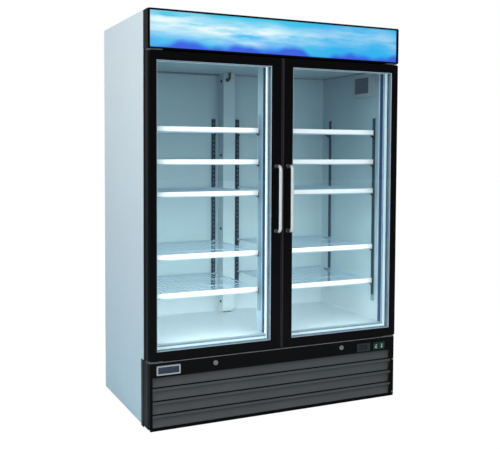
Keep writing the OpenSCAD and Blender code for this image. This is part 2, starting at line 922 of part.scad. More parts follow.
// Plate with a round throat, a motor and four arms, in the plane y = 0, facing -y
module fan_mount(w, z0, z1, rotor_d, motor_d, motor_len) {
    t = 2;
    throat = rotor_d + 2 * ring_w - 6;
    arm_w = 10;
    difference() {
        union() {
            box([-w / 2, 0, z0], [w / 2, t, z1]);
            rod_y(0, throat_d, 0, 0, rotor_d + 2 * ring_w);
        }
        rod_y(-eps, throat_d + eps, 0, 0, throat);
    }
    rod_y(motor_y, motor_y + motor_len, 0, 0, motor_d);
    for (i = [0:3]) {
        rotate([0, 45 + i * 90, 0])
            box([motor_d / 2 - 4, throat_d, -arm_w / 2], [throat / 2 + 2, motor_y + 4, arm_w / 2]);
    }
}

// Rotor with a hub and flat slanted blades on a shaft, facing -y
module fan_rotor(d, hub_d, blades, blade_w, shaft_end) {
    hub_y = 4;
    hub_len = 20;
    blade_t = 1.6;
    pitch = 28;
    reach = (d - hub_d) / 2;
    rod_y(hub_y, hub_y + hub_len, 0, 0, hub_d);
    rod_y(hub_y + hub_len - 4, shaft_end, 0, 0, shaft_d);
    for (i = [0:blades - 1]) {
        rotate([0, i * 360 / blades, 0]) translate([hub_d / 2 - 3, hub_y + hub_len / 2, 0])
            rotate([pitch, 0, 0]) plate_xz(-blade_t / 2, blade_t)
                polygon([[0, -blade_w / 3], [reach, -blade_w / 2],
                    [reach, blade_w / 2], [0, blade_w / 3]]);
    }
}

// Evaporator fan plate, from the ceiling cover up to the liner
module evaporator_fan_mount() {
    color("#5d666c") to_frame() translate([0, evap_fan_y, evap_fan_z])
        motor_with_bore(220, -plenum_h / 2 + fit, plenum_h / 2 - fit, evap_fan_d, 60, 26);
}

// Condenser fan shroud, from the tray up, behind the coil
module condenser_fan_mount() {
    color("#2f3438") to_frame() translate([cond_x, fan_y, fan_z])
        motor_with_bore(cond_len - 40, floor_z - fan_z, cond_h / 2, cond_fan_d, 84, 60);
}

// Fan mount whose motor has a bore for the rotor's shaft
module motor_with_bore(w, z0, z1, rotor_d, motor_d, motor_len) {
    difference() {
        fan_mount(w, z0, z1, rotor_d, motor_d, motor_len);
        rod_y(motor_y - eps, motor_y + motor_len - 6, 0, 0, shaft_d + 2 * run_fit);
    }
}

module evaporator_fan_rotor() {
    color("#22282c") to_frame() translate([0, evap_fan_y, evap_fan_z])
        fan_rotor(evap_fan_d, 40, 5, 34, 50);
}

module condenser_fan_rotor() {
    color("#22282c") to_frame() translate([cond_x, fan_y, fan_z])
        fan_rotor(cond_fan_d, 60, 5, 60, 80);
}

// Hermetic compressor on four rubber feet
module compressor() {
    r = comp_d / 2;
    z0 = comp_low;
    dome = 34;
    color("#1b1e21") to_frame() translate([comp_x, comp_y, 0]) {
        translate([0, 0, z0]) rotate_extrude() polygon(concat(
            [[0, 0], [r - 12, 0], [r, 10], [r, comp_h - dome]],
            [for (a = [15:15:75]) [r * cos(a), comp_h - dome + dome * sin(a)]],
            [[0, comp_h]]
        ));
        box([-r - 16, -r - 6, z0 - 3], [r + 16, r + 6, z0 + 1]);
        for (x = [-r, r], y = [-r + 10, r - 10]) {
            translate([x, y, floor_z]) cylinder(h = 11.5, d = 26);
        }
        box([-30, -r - 26, z0 + 60], [30, -r + 12, z0 + 130]);
        for (p = [[-stub_r, 0], [0, stub_r]]) {
            translate([p[0], p[1], comp_top - dome]) cylinder(h = stub_z - comp_top + dome, d = 16);
        }
    }
}

// Tray that takes the melt water
module drain_pan() {
    x0 = -half_w + 130;
    x1 = duct_x - 60;
    y0 = fan_y + 150;
    y1 = back_in - 30;
    color("#3c4348") to_frame() difference() {
        box([x0, y0, floor_z], [x1, y1, floor_z + 50]);
        box([x0 + 2, y0 + 2, floor_z + 2], [x1 - 2, y1 - 2, floor_z + 60]);
    }
}

// Box for the contactor and the terminals, on the tray behind the controls
module electrical_box() {
    x0 = half_w - 270;
    color("#7c848a") to_frame() difference() {
        box([x0, fascia_d + 12, floor_z], [x0 + 170, fascia_d + 110, floor_z + 170]);
        box([x0 + 2, fascia_d + 14, floor_z + 2], [x0 + 168, fascia_d + 108, floor_z + 168]);
        rod_y(fascia_d + 100, fascia_d + 120, x0 + 85, floor_z + 60, 20);
    }
}

// Copper lines between the compressor, the condenser and the evaporator
module refrigerant_pipes() {
    px = duct_x + 18;
    lx = duct_x + 4;
    py = chase_y + 14;
    top = ceil_z + sheet + 30;
    gas_z = stub_z + 16;
    back_z = gas_z + 24;
    coil_x = cond_x + cond_len / 2;
    cond_row = cond_z + 4.5 * cond_h / 5;
    cond_low = cond_z + cond_h / 10;
    color("#b8734a") to_frame() {
        pipe_run([
            [evap_len / 2 + 12, evap_y + evap_d / 2, ceil_z + sheet + evap_h / 2],
            [evap_len / 2 + 30, evap_y + evap_d / 2, ceil_z + sheet + evap_h / 2],
            [evap_len / 2 + 30, py, ceil_z + sheet + evap_h / 2],
            [px, py, ceil_z + sheet + evap_h / 2],
            [px, py, back_z],
            [comp_x, py, back_z],
            [comp_x, comp_y + stub_r, back_z],
            [comp_x, comp_y + stub_r, stub_z]
        ], pipe_d);
        pipe_run([
            [comp_x - stub_r, comp_y, stub_z],
            [comp_x - stub_r, comp_y, gas_z],
            [comp_x - stub_r, cond_y + cond_d / 4, gas_z],
            [comp_x - stub_r, cond_y + cond_d / 4, cond_row],
            [coil_x + 12, cond_y + cond_d / 4, cond_row]
        ], pipe_d - 4);
        pipe_run([
            [coil_x + 12, cond_y + 3 * cond_d / 4, cond_low],
            [coil_x + 60, cond_y + 3 * cond_d / 4, cond_low],
            [coil_x + 60, py + 16, cond_low],
            [lx, py + 16, cond_low],
            [lx, py + 16, top],
            [-evap_len / 2 - 24, py + 16, top],
            [-evap_len / 2 - 24, evap_y + evap_d / 2, top],
            [-evap_len / 2 - 24, evap_y + evap_d / 2, ceil_z + sheet + evap_h / 2],
            [-evap_len / 2 - 12, evap_y + evap_d / 2, ceil_z + sheet + evap_h / 2]
        ], pipe_d - 5);
    }
}

// Gland for the supply cord in the rear recess
module cord_inlet() {
    nut_d = inlet_d + 10;
    cord_d = 10;
    color("#17191b") to_frame() difference() {
        union() {
            rod_y(back_in - 8, back_in + sheet + 12, inlet_x, inlet_z, inlet_d);
            rod_y(back_in + sheet, back_in + sheet + 5, inlet_x, inlet_z, nut_d);
            rod_y(back_in - 6, back_in, inlet_x, inlet_z, nut_d);
        }
        rod_y(back_in - 9, back_in + sheet + 13, inlet_x, inlet_z, cord_d);
    }
}

// Zinc hinge plates above and below each door, with their pins
module hinge_brackets() {
    plate_w = 70;
    plate_in = 2;
    plate_y = 8;
    shoulder = 16;
    color("#d5d9db") to_frame() both_sides() {
        pin_x = half_w - pin_in;
        x0 = half_w - plate_in - plate_w;
        box([x0, plate_y, plinth_z], [half_w - plate_in, face_y, plinth_z + hinge_t]);
        translate([pin_x, pin_y, plinth_z]) cylinder(h = door_low_gap + pin_len, d = pin_d);
        translate([pin_x, pin_y, plinth_z]) cylinder(h = door_low_gap - fit, d = shoulder);
        box([x0, plate_y, header_z - hinge_t], [half_w - plate_in, face_y, header_z]);
        translate([pin_x, pin_y, header_z - door_top_gap - pin_len])
            cylinder(h = door_top_gap + pin_len, d = pin_d);
    }
}

// Four levelling feet with their stems
module levelling_feet() {
    color("#23272a") to_frame() foot_places(0) {
        cylinder(h = foot_h, d = foot_d);
        cylinder(h = foot_h + 22, d = stem_d);
    }
}

// Screws of the fascia and the rear duct
module panel_screws() {
    head = 9;
    duct_left = duct_x - duct_w / 2;
    duct_h = ceil_z - in_floor;
    color("#b9bec1") to_frame() {
        for (z = screw_levels()) {
            rod_y(-3, 0, half_w - screw_in, z, head);
            rod_y(-eps, 12, half_w - screw_in, z, 4);
        }
        for (i = [0:3]) {
            rod_x(duct_left - 2.5, duct_left, in_y - duct_d + 30,
                in_floor + 65 + i * (duct_h - 110) / 3, head + 1);
        }
    }
}

// Slotted cover high on the right wall
module wall_vent_cover() {
    t = 14;
    y0 = edge_door + 90;
    y1 = y0 + 214;
    z1 = ceil_z - 6;
    z0 = z1 - 132;
    slots = 7;
    win_front = 50;
    win_back = 26;
    win_z = 22;
    pitch = (z1 - z0 - 2 * win_z) / slots;
    open_share = 0.75;
    color("#aebcc2") to_frame() difference() {
        translate([in_x - t, y0, z0]) plate_yz(0, t) round_rect(y1 - y0, z1 - z0, 8);
        box([in_x - t + 3, y0 + 3, z0 + 3], [in_x - 2, y1 - 3, z1 - 3]);
        for (i = [0:slots - 1]) {
            z = z0 + win_z + i * pitch;
            box([in_x - t - eps, y0 + win_front, z],
                [in_x - t + 4, y1 - win_back, z + pitch * open_share]);
        }
    }
}

// Black drain hose in the duct, and the short hose that enters it near the ceiling
module drain_hose() {
    x = duct_x - 14;
    y = chase_y + hose_d / 2 + fit;
    turn_z = plinth_z - 80;
    color("#15181a") to_frame() {
        pipe_run([
            [x, y, ceil_z + sheet],
            [x, y, turn_z],
            [duct_x - 90, y, turn_z],
            [duct_x - 90, y, floor_z + 30]
        ], hose_d);
        pipe_run([
            [hook_x, hook_y, ceil_z + 8],
            [hook_x, hook_y, hook_z],
            [hook_x, in_y - duct_d + 8, hook_z]
        ], hose_d);
    }
}

// Solid shape of a door, hinged at x = 0
module door_blank() {
    intersection() {
        linear_extrude(door_h) round_front(door_w, door_t, door_edge_r);
        plate_xz(0, door_t) round_rect(door_w, door_h, door_r);
    }
}

// Door frame with the glass groove, the hinge bores and the lock's strike pocket
module door_frame() {
    g = glass_bite + fit;
    strike = half_w - lock_x;
    color("#14171a") difference() {
        door_blank();
        box([hinge_stile, -eps, low_rail], [hinge_stile + win_w, door_t + eps, low_rail + win_h]);
        box([hinge_stile - g, glass_lip, low_rail - g],
            [hinge_stile + win_w + g, glass_lip + unit_t + 2 * fit, low_rail + win_h + g]);
        for (z = [-eps, door_h - pin_len - 1]) {
            translate([pin_in, pin_y, z]) cylinder(h = pin_len + 1 + eps, d = pin_d + 2 * run_fit);
        }
        box([strike - cam_len, cam_y - 2, -eps],
            [strike + cam_side, cam_y - 2 + cam_slot, cam_len - door_z0 + lock_z + 4]);
    }
}

// A ring in the plane of the door, b wide, whose outer edge lies m outside the window
module window_ring(y, t, m, b) {
    plate_xz(y, t) difference() {
        translate([hinge_stile - m, low_rail - m]) square([win_w + 2 * m, win_h + 2 * m]);
        translate([hinge_stile - m + b, low_rail - m + b])
            square([win_w + 2 * m - 2 * b, win_h + 2 * m - 2 * b]);
    }
}

// Two panes
module door_glass() {
    m = glass_bite;
    color("#bfe6ee", 0.35) {
        for (y = [glass_lip + fit, glass_lip + fit + pane_t + pane_gap]) {
            box([hinge_stile - m, y, low_rail - m], [hinge_stile + win_w + m, y + pane_t,
                low_rail + win_h + m]);
        }
    }
}

// Bright spacer bar between the panes
module glass_spacer() {
    color("#d7dcdf") window_ring(glass_lip + fit + pane_t, pane_gap, glass_bite, glass_bite + 1);
}

// Rubber gasket on the back of the door
module door_gasket() {
    i = gasket_inset;
    color("#2a2e31") plate_xz(door_t, door_off - fit) difference() {
        translate([i, i]) square([door_w - 2 * i, door_h - 2 * i]);
        translate([gasket_in, gasket_in]) square([door_w - 2 * gasket_in, door_h - 2 * gasket_in]);
    }
}

// Tube handle with two bends
module door_handle() {
    r = handle_bend;
    mid = handle_z - door_z0;
    color("#c9ced1") translate([handle_x, 0, mid]) {
        translate([0, handle_y, -handle_span / 2 + r])
            cylinder(h = handle_span - 2 * r, d = handle_d);
        for (s = [-1, 1]) {
            scale([1, 1, s]) translate([0, 0, handle_span / 2]) {
                rod_y(handle_y + r, 0, 0, 0, handle_d);
                translate([0, handle_y + r, -r]) rotate([90, 0, 90]) rotate([0, 0, 90])
                    rotate_extrude(angle = 90) translate([r, 0]) circle(d = handle_d);
            }
        }
    }
}

// Doors stand in the frame from their outer edges
module hang_left() {
    to_frame() translate([-half_w, 0, door_z0]) children();
}

module hang_right() {
    mirror([1, 0, 0]) hang_left() children();
}

outer_wrapper();
back_panel();
foam_insulation();
inner_liner();
face_frame();
centre_mullion();
header_frame();
sign_panel();
light_tubes();
base_frame();
lower_fascia();
front_grille();
badge_plate();
temperature_display();
switch_housings();
lock_barrels();
shelf_standards();
shelf_clips();
rear_duct();
ceiling_cover();
evaporator_coil();
evaporator_fan_mount();
compressor();
condenser_coil();
condenser_fan_mount();
drain_pan();
electrical_box();
refrigerant_pipes();
cord_inlet();
hinge_brackets();
levelling_feet();
panel_screws();
wall_vent_cover();
drain_hose();
evaporator_fan_rotor();
condenser_fan_rotor();
left_lock_plug();
right_lock_plug();
left_rocker();
right_rocker();
left_shelf(1);  // left_shelf_1
left_shelf(2);  // left_shelf_2
left_shelf(3);  // left_shelf_3
left_shelf(4);  // left_shelf_4
left_shelf(5);  // left_shelf_5
right_shelf(1);  // right_shelf_1
right_shelf(2);  // right_shelf_2
right_shelf(3);  // right_shelf_3
right_shelf(4);  // right_shelf_4
right_shelf(5);  // right_shelf_5
hang_left() door_frame();  // left_door_frame
hang_left() door_glass();  // left_door_glass
hang_left() glass_spacer();  // left_glass_spacer
hang_left() door_gasket();  // left_door_gasket
hang_left() door_handle();  // left_door_handle
hang_right() door_frame();  // right_door_frame
hang_right() door_glass();  // right_door_glass
hang_right() glass_spacer();  // right_glass_spacer
hang_right() door_gasket();  // right_door_gasket
hang_right() door_handle();  // right_door_handle
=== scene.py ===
"""Two-door refrigerated merchandiser: finishes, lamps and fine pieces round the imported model."""
import json
import math
import bmesh
import bpy
import numpy as np
from mathutils import Matrix, Vector


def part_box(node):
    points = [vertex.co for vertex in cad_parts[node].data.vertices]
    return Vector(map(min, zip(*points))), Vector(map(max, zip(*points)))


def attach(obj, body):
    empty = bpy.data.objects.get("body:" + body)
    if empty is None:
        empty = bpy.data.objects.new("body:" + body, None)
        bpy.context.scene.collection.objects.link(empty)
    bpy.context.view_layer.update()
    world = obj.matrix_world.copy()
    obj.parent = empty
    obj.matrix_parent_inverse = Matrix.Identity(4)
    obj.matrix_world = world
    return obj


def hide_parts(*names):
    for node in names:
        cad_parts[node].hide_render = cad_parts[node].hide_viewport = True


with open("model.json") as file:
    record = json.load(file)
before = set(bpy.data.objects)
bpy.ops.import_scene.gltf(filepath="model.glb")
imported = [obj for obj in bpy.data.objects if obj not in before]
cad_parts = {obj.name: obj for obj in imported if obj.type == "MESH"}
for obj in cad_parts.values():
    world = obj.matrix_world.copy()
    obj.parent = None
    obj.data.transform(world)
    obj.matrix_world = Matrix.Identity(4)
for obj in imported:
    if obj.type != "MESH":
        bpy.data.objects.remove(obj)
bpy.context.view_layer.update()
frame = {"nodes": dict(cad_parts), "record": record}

# Places below are millimetres: x to the right, y from the door faces to the back, z up from the floor
MM = 0.001
FRONT_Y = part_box("left_door_frame")[0].y
ORIGIN = np.array([0.0, FRONT_Y, 0.0])
RIGHT, BACK, UP, OUT, DOWN = (1, 0, 0), (0, 1, 0), (0, 0, 1), (0, -1, 0), (0, 0, -1)
# Half the outer width, half the cabin's width, and the cabin's rear wall
SIDE_X, IN_X, IN_Y = 700.0, 660.0, 740.0


def metres(points):
    """Millimetres measured from the door faces to metres in the frame: p * 0.001, then y + FRONT_Y."""
    return np.asarray(points, float) * MM + ORIGIN


def span(name):
    """Lowest and highest corner of a node, in the millimetres used here."""
    return [(np.array(corner) - ORIGIN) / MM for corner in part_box(name)]


def add(name, data):
    """A new object with this data, put into the scene."""
    made = bpy.data.objects.new(name, data)
    bpy.context.scene.collection.objects.link(made)
    return made


# Camera: the photograph's own view, solved from the corners of the cabinet
CAMERA_AT = (-1.8195, -3.9172, 1.3338)
YAW, PITCH, ROLL = math.radians(25.653), math.radians(-2.755), math.radians(0.305)
FOCAL_PX, CENTRE_X, CENTRE_Y = 788.4, 261.0, 190.0
PHOTO_W, PHOTO_H = 500, 449
SENSOR = 36.0


def make_camera():
    """Looks along (sin yaw cos pitch, cos yaw cos pitch, sin pitch), rolled about that line."""
    data = bpy.data.cameras.new("camera")
    data.sensor_width = SENSOR
    data.lens = FOCAL_PX * SENSOR / PHOTO_W
    data.shift_x = (PHOTO_W / 2 - CENTRE_X) / PHOTO_W
    data.shift_y = (CENTRE_Y - PHOTO_H / 2) / PHOTO_W
    ahead = Vector((math.sin(YAW) * math.cos(PITCH), math.cos(YAW) * math.cos(PITCH), math.sin(PITCH)))
    level = Vector((math.cos(YAW), -math.sin(YAW), 0.0))
    over = level.cross(ahead)
    right = math.cos(ROLL) * level + math.sin(ROLL) * over
    up = math.cos(ROLL) * over - math.sin(ROLL) * level
    camera = add("camera", data)
    camera.matrix_world = Matrix.Translation(CAMERA_AT) @ Matrix((right, up, -ahead)).transposed().to_4x4()
    bpy.context.scene.camera = camera


make_camera()
bpy.context.scene.view_settings.view_transform = "Standard"


# Shader nodes
def lin(colour):
    """sRGB hex to linear RGBA: c / 12.92 below 0.04045, else ((c + 0.055) / 1.055) ** 2.4."""
    parts = [int(colour[i:i + 2], 16) / 255 for i in (1, 3, 5)]
    return tuple(c / 12.92 if c <= 0.04045 else ((c + 0.055) / 1.055) ** 2.4 for c in parts) + (1.0,)


def node(tree, kind, inputs=None, ramp=None, **settings):
    """Adds one shader node, with its settings, its inputs' values or links, and its colour stops."""
    made = tree.nodes.new("ShaderNode" + kind)
    for name, value in settings.items():
        setattr(made, name, value)
    for name, value in (inputs or {}).items():
        if isinstance(value, bpy.types.NodeSocket):
            tree.links.new(value, made.inputs[name])
        else:
            made.inputs[name].default_value = value
    for i, (at, colour) in enumerate(ramp or ()):
        stop = made.color_ramp.elements[i] if i < 2 else made.color_ramp.elements.new(at)
        stop.position = at
        stop.color = lin(colour)
    return made


def calc(tree, operation, *values):
    """One sum on numbers or links."""
    return node(tree, "Math", dict(enumerate(values)), operation=operation).outputs[0]


def spread(tree, value, low, high, start=0.0, end=1.0):
    """From start to end, as a value goes from low to high."""
    return node(tree, "MapRange", {0: value, 1: low, 2: high, 3: start, 4: end}).outputs[0]


def mixed(tree, share, first, second, **settings):
    """A share of the second colour over the first; each is a link or an sRGB hex."""
    first, second = [lin(c) if isinstance(c, str) else c for c in (first, second)]
    return node(tree, "Mix", {0: share, 6: first, 7: second}, data_type="RGBA", **settings).outputs[2]


def blank(name, specular=0.5, **values):
    """A material with its output and one Principled shader, which takes plain values on its own sockets."""
    material = bpy.data.materials.new(name)
    material.use_nodes = True
    tree = material.node_tree
    tree.nodes.clear()
    sockets = {socket.replace("_", " "): value for socket, value in values.items()}
    shader = node(tree, "BsdfPrincipled", {"Specular IOR Level": specular, **sockets})
    node(tree, "OutputMaterial", {"Surface": shader.outputs[0]})
    return material, tree, shader


def show(tree, shader):
    """Puts a shader on the material's output in place of the first one."""
    out = next(n for n in tree.nodes if n.type == "OUTPUT_MATERIAL")
    tree.links.new(shader.outputs[0], out.inputs["Surface"])


def measured(tree, unit_mm, shift=(0, 0, 0)):
    """The point in units of some millimetres, the same for x, y and z or one for each, then shifted."""
    scale = 1 / (MM * np.ones(3) * unit_mm)
    where = node(tree, "TexCoord").outputs["Object"]
    return node(tree, "Mapping", {"Vector": where, "Location": shift, "Scale": scale}).outputs[0]


def blotches(tree, size_mm, detail=2.0, stretch=(1, 1, 1)):
    """Soft 0 to 1 blotches about size_mm across, drawn out along an axis by stretch."""
    where = measured(tree, size_mm * np.array(stretch))
    return node(tree, "TexNoise", {"Vector": where, "Scale": 1.0, "Detail": detail}).outputs["Fac"]


def place(tree):
    """The point's x, y and z in the millimetres used here."""
    return node(tree, "SeparateXYZ", {0: measured(tree, 1, -ORIGIN / MM)}).outputs


# Kinds of finish
def surface(tree, shader, tones, tone_by, rough, rough_by, height, relief_mm, shade=()):
    """Colour between two tones, roughness between two values and relief of a real height, by patterns.

    A shade is (axis, low, high, stops): its stops, spread from low to high, multiply the colour. On some
    finishes this is painted shade or painted light."""
    tone = mixed(tree, tone_by, *tones)
    if shade:
        axis, low, high, stops = shade
        shaded = node(tree, "ValToRGB", {0: spread(tree, place(tree)[axis], low, high)}, ramp=stops)
        tone = mixed(tree, 1.0, tone, shaded.outputs[0], blend_type="MULTIPLY")
    relief = node(tree, "Bump", {"Height": height, "Distance": relief_mm * MM})
    tree.links.new(tone, shader.inputs["Base Color"])
    tree.links.new(spread(tree, rough_by, 0.0, 1.0, *rough), shader.inputs["Roughness"])
    tree.links.new(relief.outputs[0], shader.inputs["Normal"])


def powder_coat(name, dark, light, rough, peel_mm=2.5, relief=0.04, shade=(), **values):
    """Baked powder paint on sheet steel: orange peel of a few millimetres under a soft sheen."""
    material, tree, shader = blank(name, **values)
    surface(tree, shader, (dark, light), blotches(tree, 180), (rough - 0.04, rough + 0.06),
            blotches(tree, 30), blotches(tree, peel_mm), relief, shade)
    return material


def moulded(name, dark, light, rough, grain_mm=0.8, relief=0.03, shade=(), swing=0.05, **values):
    """Injection-moulded or extruded plastic with the fine grain of its tool."""
    material, tree, shader = blank(name, **values)
    surface(tree, shader, (dark, light), blotches(tree, 60), (rough - swing, rough + swing),
            blotches(tree, 25), blotches(tree, grain_mm), relief, shade)
    return material


def brushed(name, dark, light, rough, along=0, line_mm=0.7, relief=0.02, **values):
    """Metal with fine lines left by a belt or a die along one axis."""
    material, tree, shader = blank(name, **{"Metallic": 1.0, **values})
    stretch = np.ones(3)
    stretch[along] = 90
    lines = blotches(tree, line_mm, 4.0, stretch)
    surface(tree, shader, (dark, light), lines, (rough - 0.06, rough + 0.08), lines, lines, relief)
    return material


def spangled(name, dark, light, rough, crystal_mm=16.0):
    """Hot-dipped zinc: flat crystals a finger wide, each a slightly different grey."""
    material, tree, shader = blank(name, Metallic=0.9)
    crystals = node(tree, "TexVoronoi", {"Vector": measured(tree, crystal_mm), "Scale": 1.0}).outputs
    surface(tree, shader, (dark, light), crystals["Color"], (rough - 0.05, rough + 0.1), crystals["Color"],
            crystals["Distance"], 0.03)
    return material


def patched(material, outer, inner, *limits):
    """Lays one colour over a finish outside the limits and one inside; None leaves the finish its own.

    A limit is (axis, low, high), kept where the distance from its middle is under half its length."""
    tree = material.node_tree
    base = next(n for n in tree.nodes if n.type == "BSDF_PRINCIPLED").inputs["Base Color"]
    inside = 1.0
    for axis, low, high in limits:
        away = calc(tree, "ABSOLUTE", calc(tree, "SUBTRACT", place(tree)[axis], (low + high) / 2))
        inside = calc(tree, "MULTIPLY", calc(tree, "LESS_THAN", away, (high - low) / 2), inside)
    own = base.links[0].from_socket
    tree.links.new(mixed(tree, inside, outer or own, inner or own), base)
    return material


def finned(name, half_x, middle_x=0.0):
    """Pressed aluminium fins, and copper tube ends further than half_x from the middle."""
    material, tree, shader = blank(name, Metallic=1.0)
    lines = blotches(tree, 1.2, 3.0, (1, 1, 40))
    surface(tree, shader, ("#8f979c", "#b9c0c4"), lines, (0.32, 0.46), lines, lines, 0.03)
    return patched(material, "#b06c42", None, ("X", middle_x - half_x, middle_x + half_x))


def glass():
    """Float glass: clear, a trace of green, and it lets lamplight through as real panes do."""
    tint = lin("#f9fdfd")
    material, tree, shader = blank("clear_float_glass", Base_Color=tint, Roughness=0.0, IOR=1.45,
                                   Transmission_Weight=1.0, specular=0.35)
    clear = node(tree, "BsdfTransparent", {"Color": tint})
    shadow = node(tree, "LightPath").outputs["Is Shadow Ray"]
    show(tree, node(tree, "MixShader", {0: shadow, 1: shader.outputs[0], 2: clear.outputs[0]}))
    return material


def sign_print():
    """Back-lit print on opal acrylic: cold sky, drifting mist in long streaks and a deep-blue swell.

    The swell fills the sheet below a line: two sines along x, 0.021 and 0.067 to the millimetre, added to
    wide noise. The mist is noise drawn out along x in a belt that wider noise pushes up and down."""
    material, tree, shader = blank("backlit_print_on_opal_acrylic", Roughness=0.25, Emission_Strength=0.8)
    at = place(tree)
    low, high = span("sign_panel")
    up = spread(tree, at["Z"], low[2], high[2])
    sky = node(tree, "ValToRGB", {0: up},
               ramp=((0.0, "#3f8df0"), (0.3, "#5cb6f6"), (0.62, "#58d0f8"), (1.0, "#40c8e8"))).outputs[0]
    sky = mixed(tree, spread(tree, blotches(tree, 230, 2.0), 0.42, 0.62), sky, "#46ccf0")
    sky = mixed(tree, spread(tree, at["X"], -50, 300, 0.0, 0.75), sky, "#20aef0")
    level = calc(tree, "ADD", up, spread(tree, blotches(tree, 420, 1.0), 0.0, 1.0, -0.5, 0.5))
    away = calc(tree, "ABSOLUTE", calc(tree, "SUBTRACT", level, 0.56))
    streaks = spread(tree, blotches(tree, 42, 5.0, (4.5, 1, 0.8)), 0.32, 0.6)
    belt = calc(tree, "MULTIPLY", spread(tree, away, 0.4, 0.04), streaks)
    mist = calc(tree, "MULTIPLY", belt, spread(tree, at["X"], -100, 260, 1.0, 0.35))
    misty = mixed(tree, mist, sky, "#ecfdff")
    roll, ripple = [calc(tree, "SINE", calc(tree, "MULTIPLY", at["X"], turn)) for turn in (0.021, 0.067)]
    wave = calc(tree, "MULTIPLY_ADD", ripple, 0.25, roll)
    lift = calc(tree, "MULTIPLY_ADD", wave, 0.07, -0.1)
    crest = calc(tree, "MULTIPLY_ADD", blotches(tree, 260, 3.0, (1, 1, 4)), 0.5, lift)
    swell = spread(tree, calc(tree, "SUBTRACT", crest, up), -0.06, 0.08)
    printed = mixed(tree, swell, misty, "#3864e4")
    tree.links.new(mixed(tree, 0.85, printed, "#000000"), shader.inputs["Base Color"])
    tree.links.new(printed, shader.inputs["Emission Color"])
    return material


# Painted shade on the side panels: a little bluer and darker towards the floor
SIDE_SHADE = ((0.0, "#cfe3ea"), (0.5, "#ecf1f3"), (0.85, "#fdfcfb"), (1.0, "#ffffff"))
# Painted shade on the liner: cold and dim under the ceiling and bright on the floor
CABIN_SHADE = ((0.0, "#ffffff"), (0.1, "#eef7f8"), (0.33, "#dceaec"), (0.64, "#bccfd5"), (0.86, "#a8bbc4"),
               (1.0, "#9aafb9"))
# The slotted cover on the right wall, and the window inside its border
COVER_LOW, COVER_HIGH = span("wall_vent_cover")
COVER_WINDOW = (("Y", COVER_LOW[1] + 49.5, COVER_HIGH[1] - 25.5),
                ("Z", COVER_LOW[2] + 20, COVER_HIGH[2] - 24))
# The paint on the standards' flanges, and the height under which all of a standard has it
FLANGE_BLUE, FOOT_Z = "#93aebf", 538

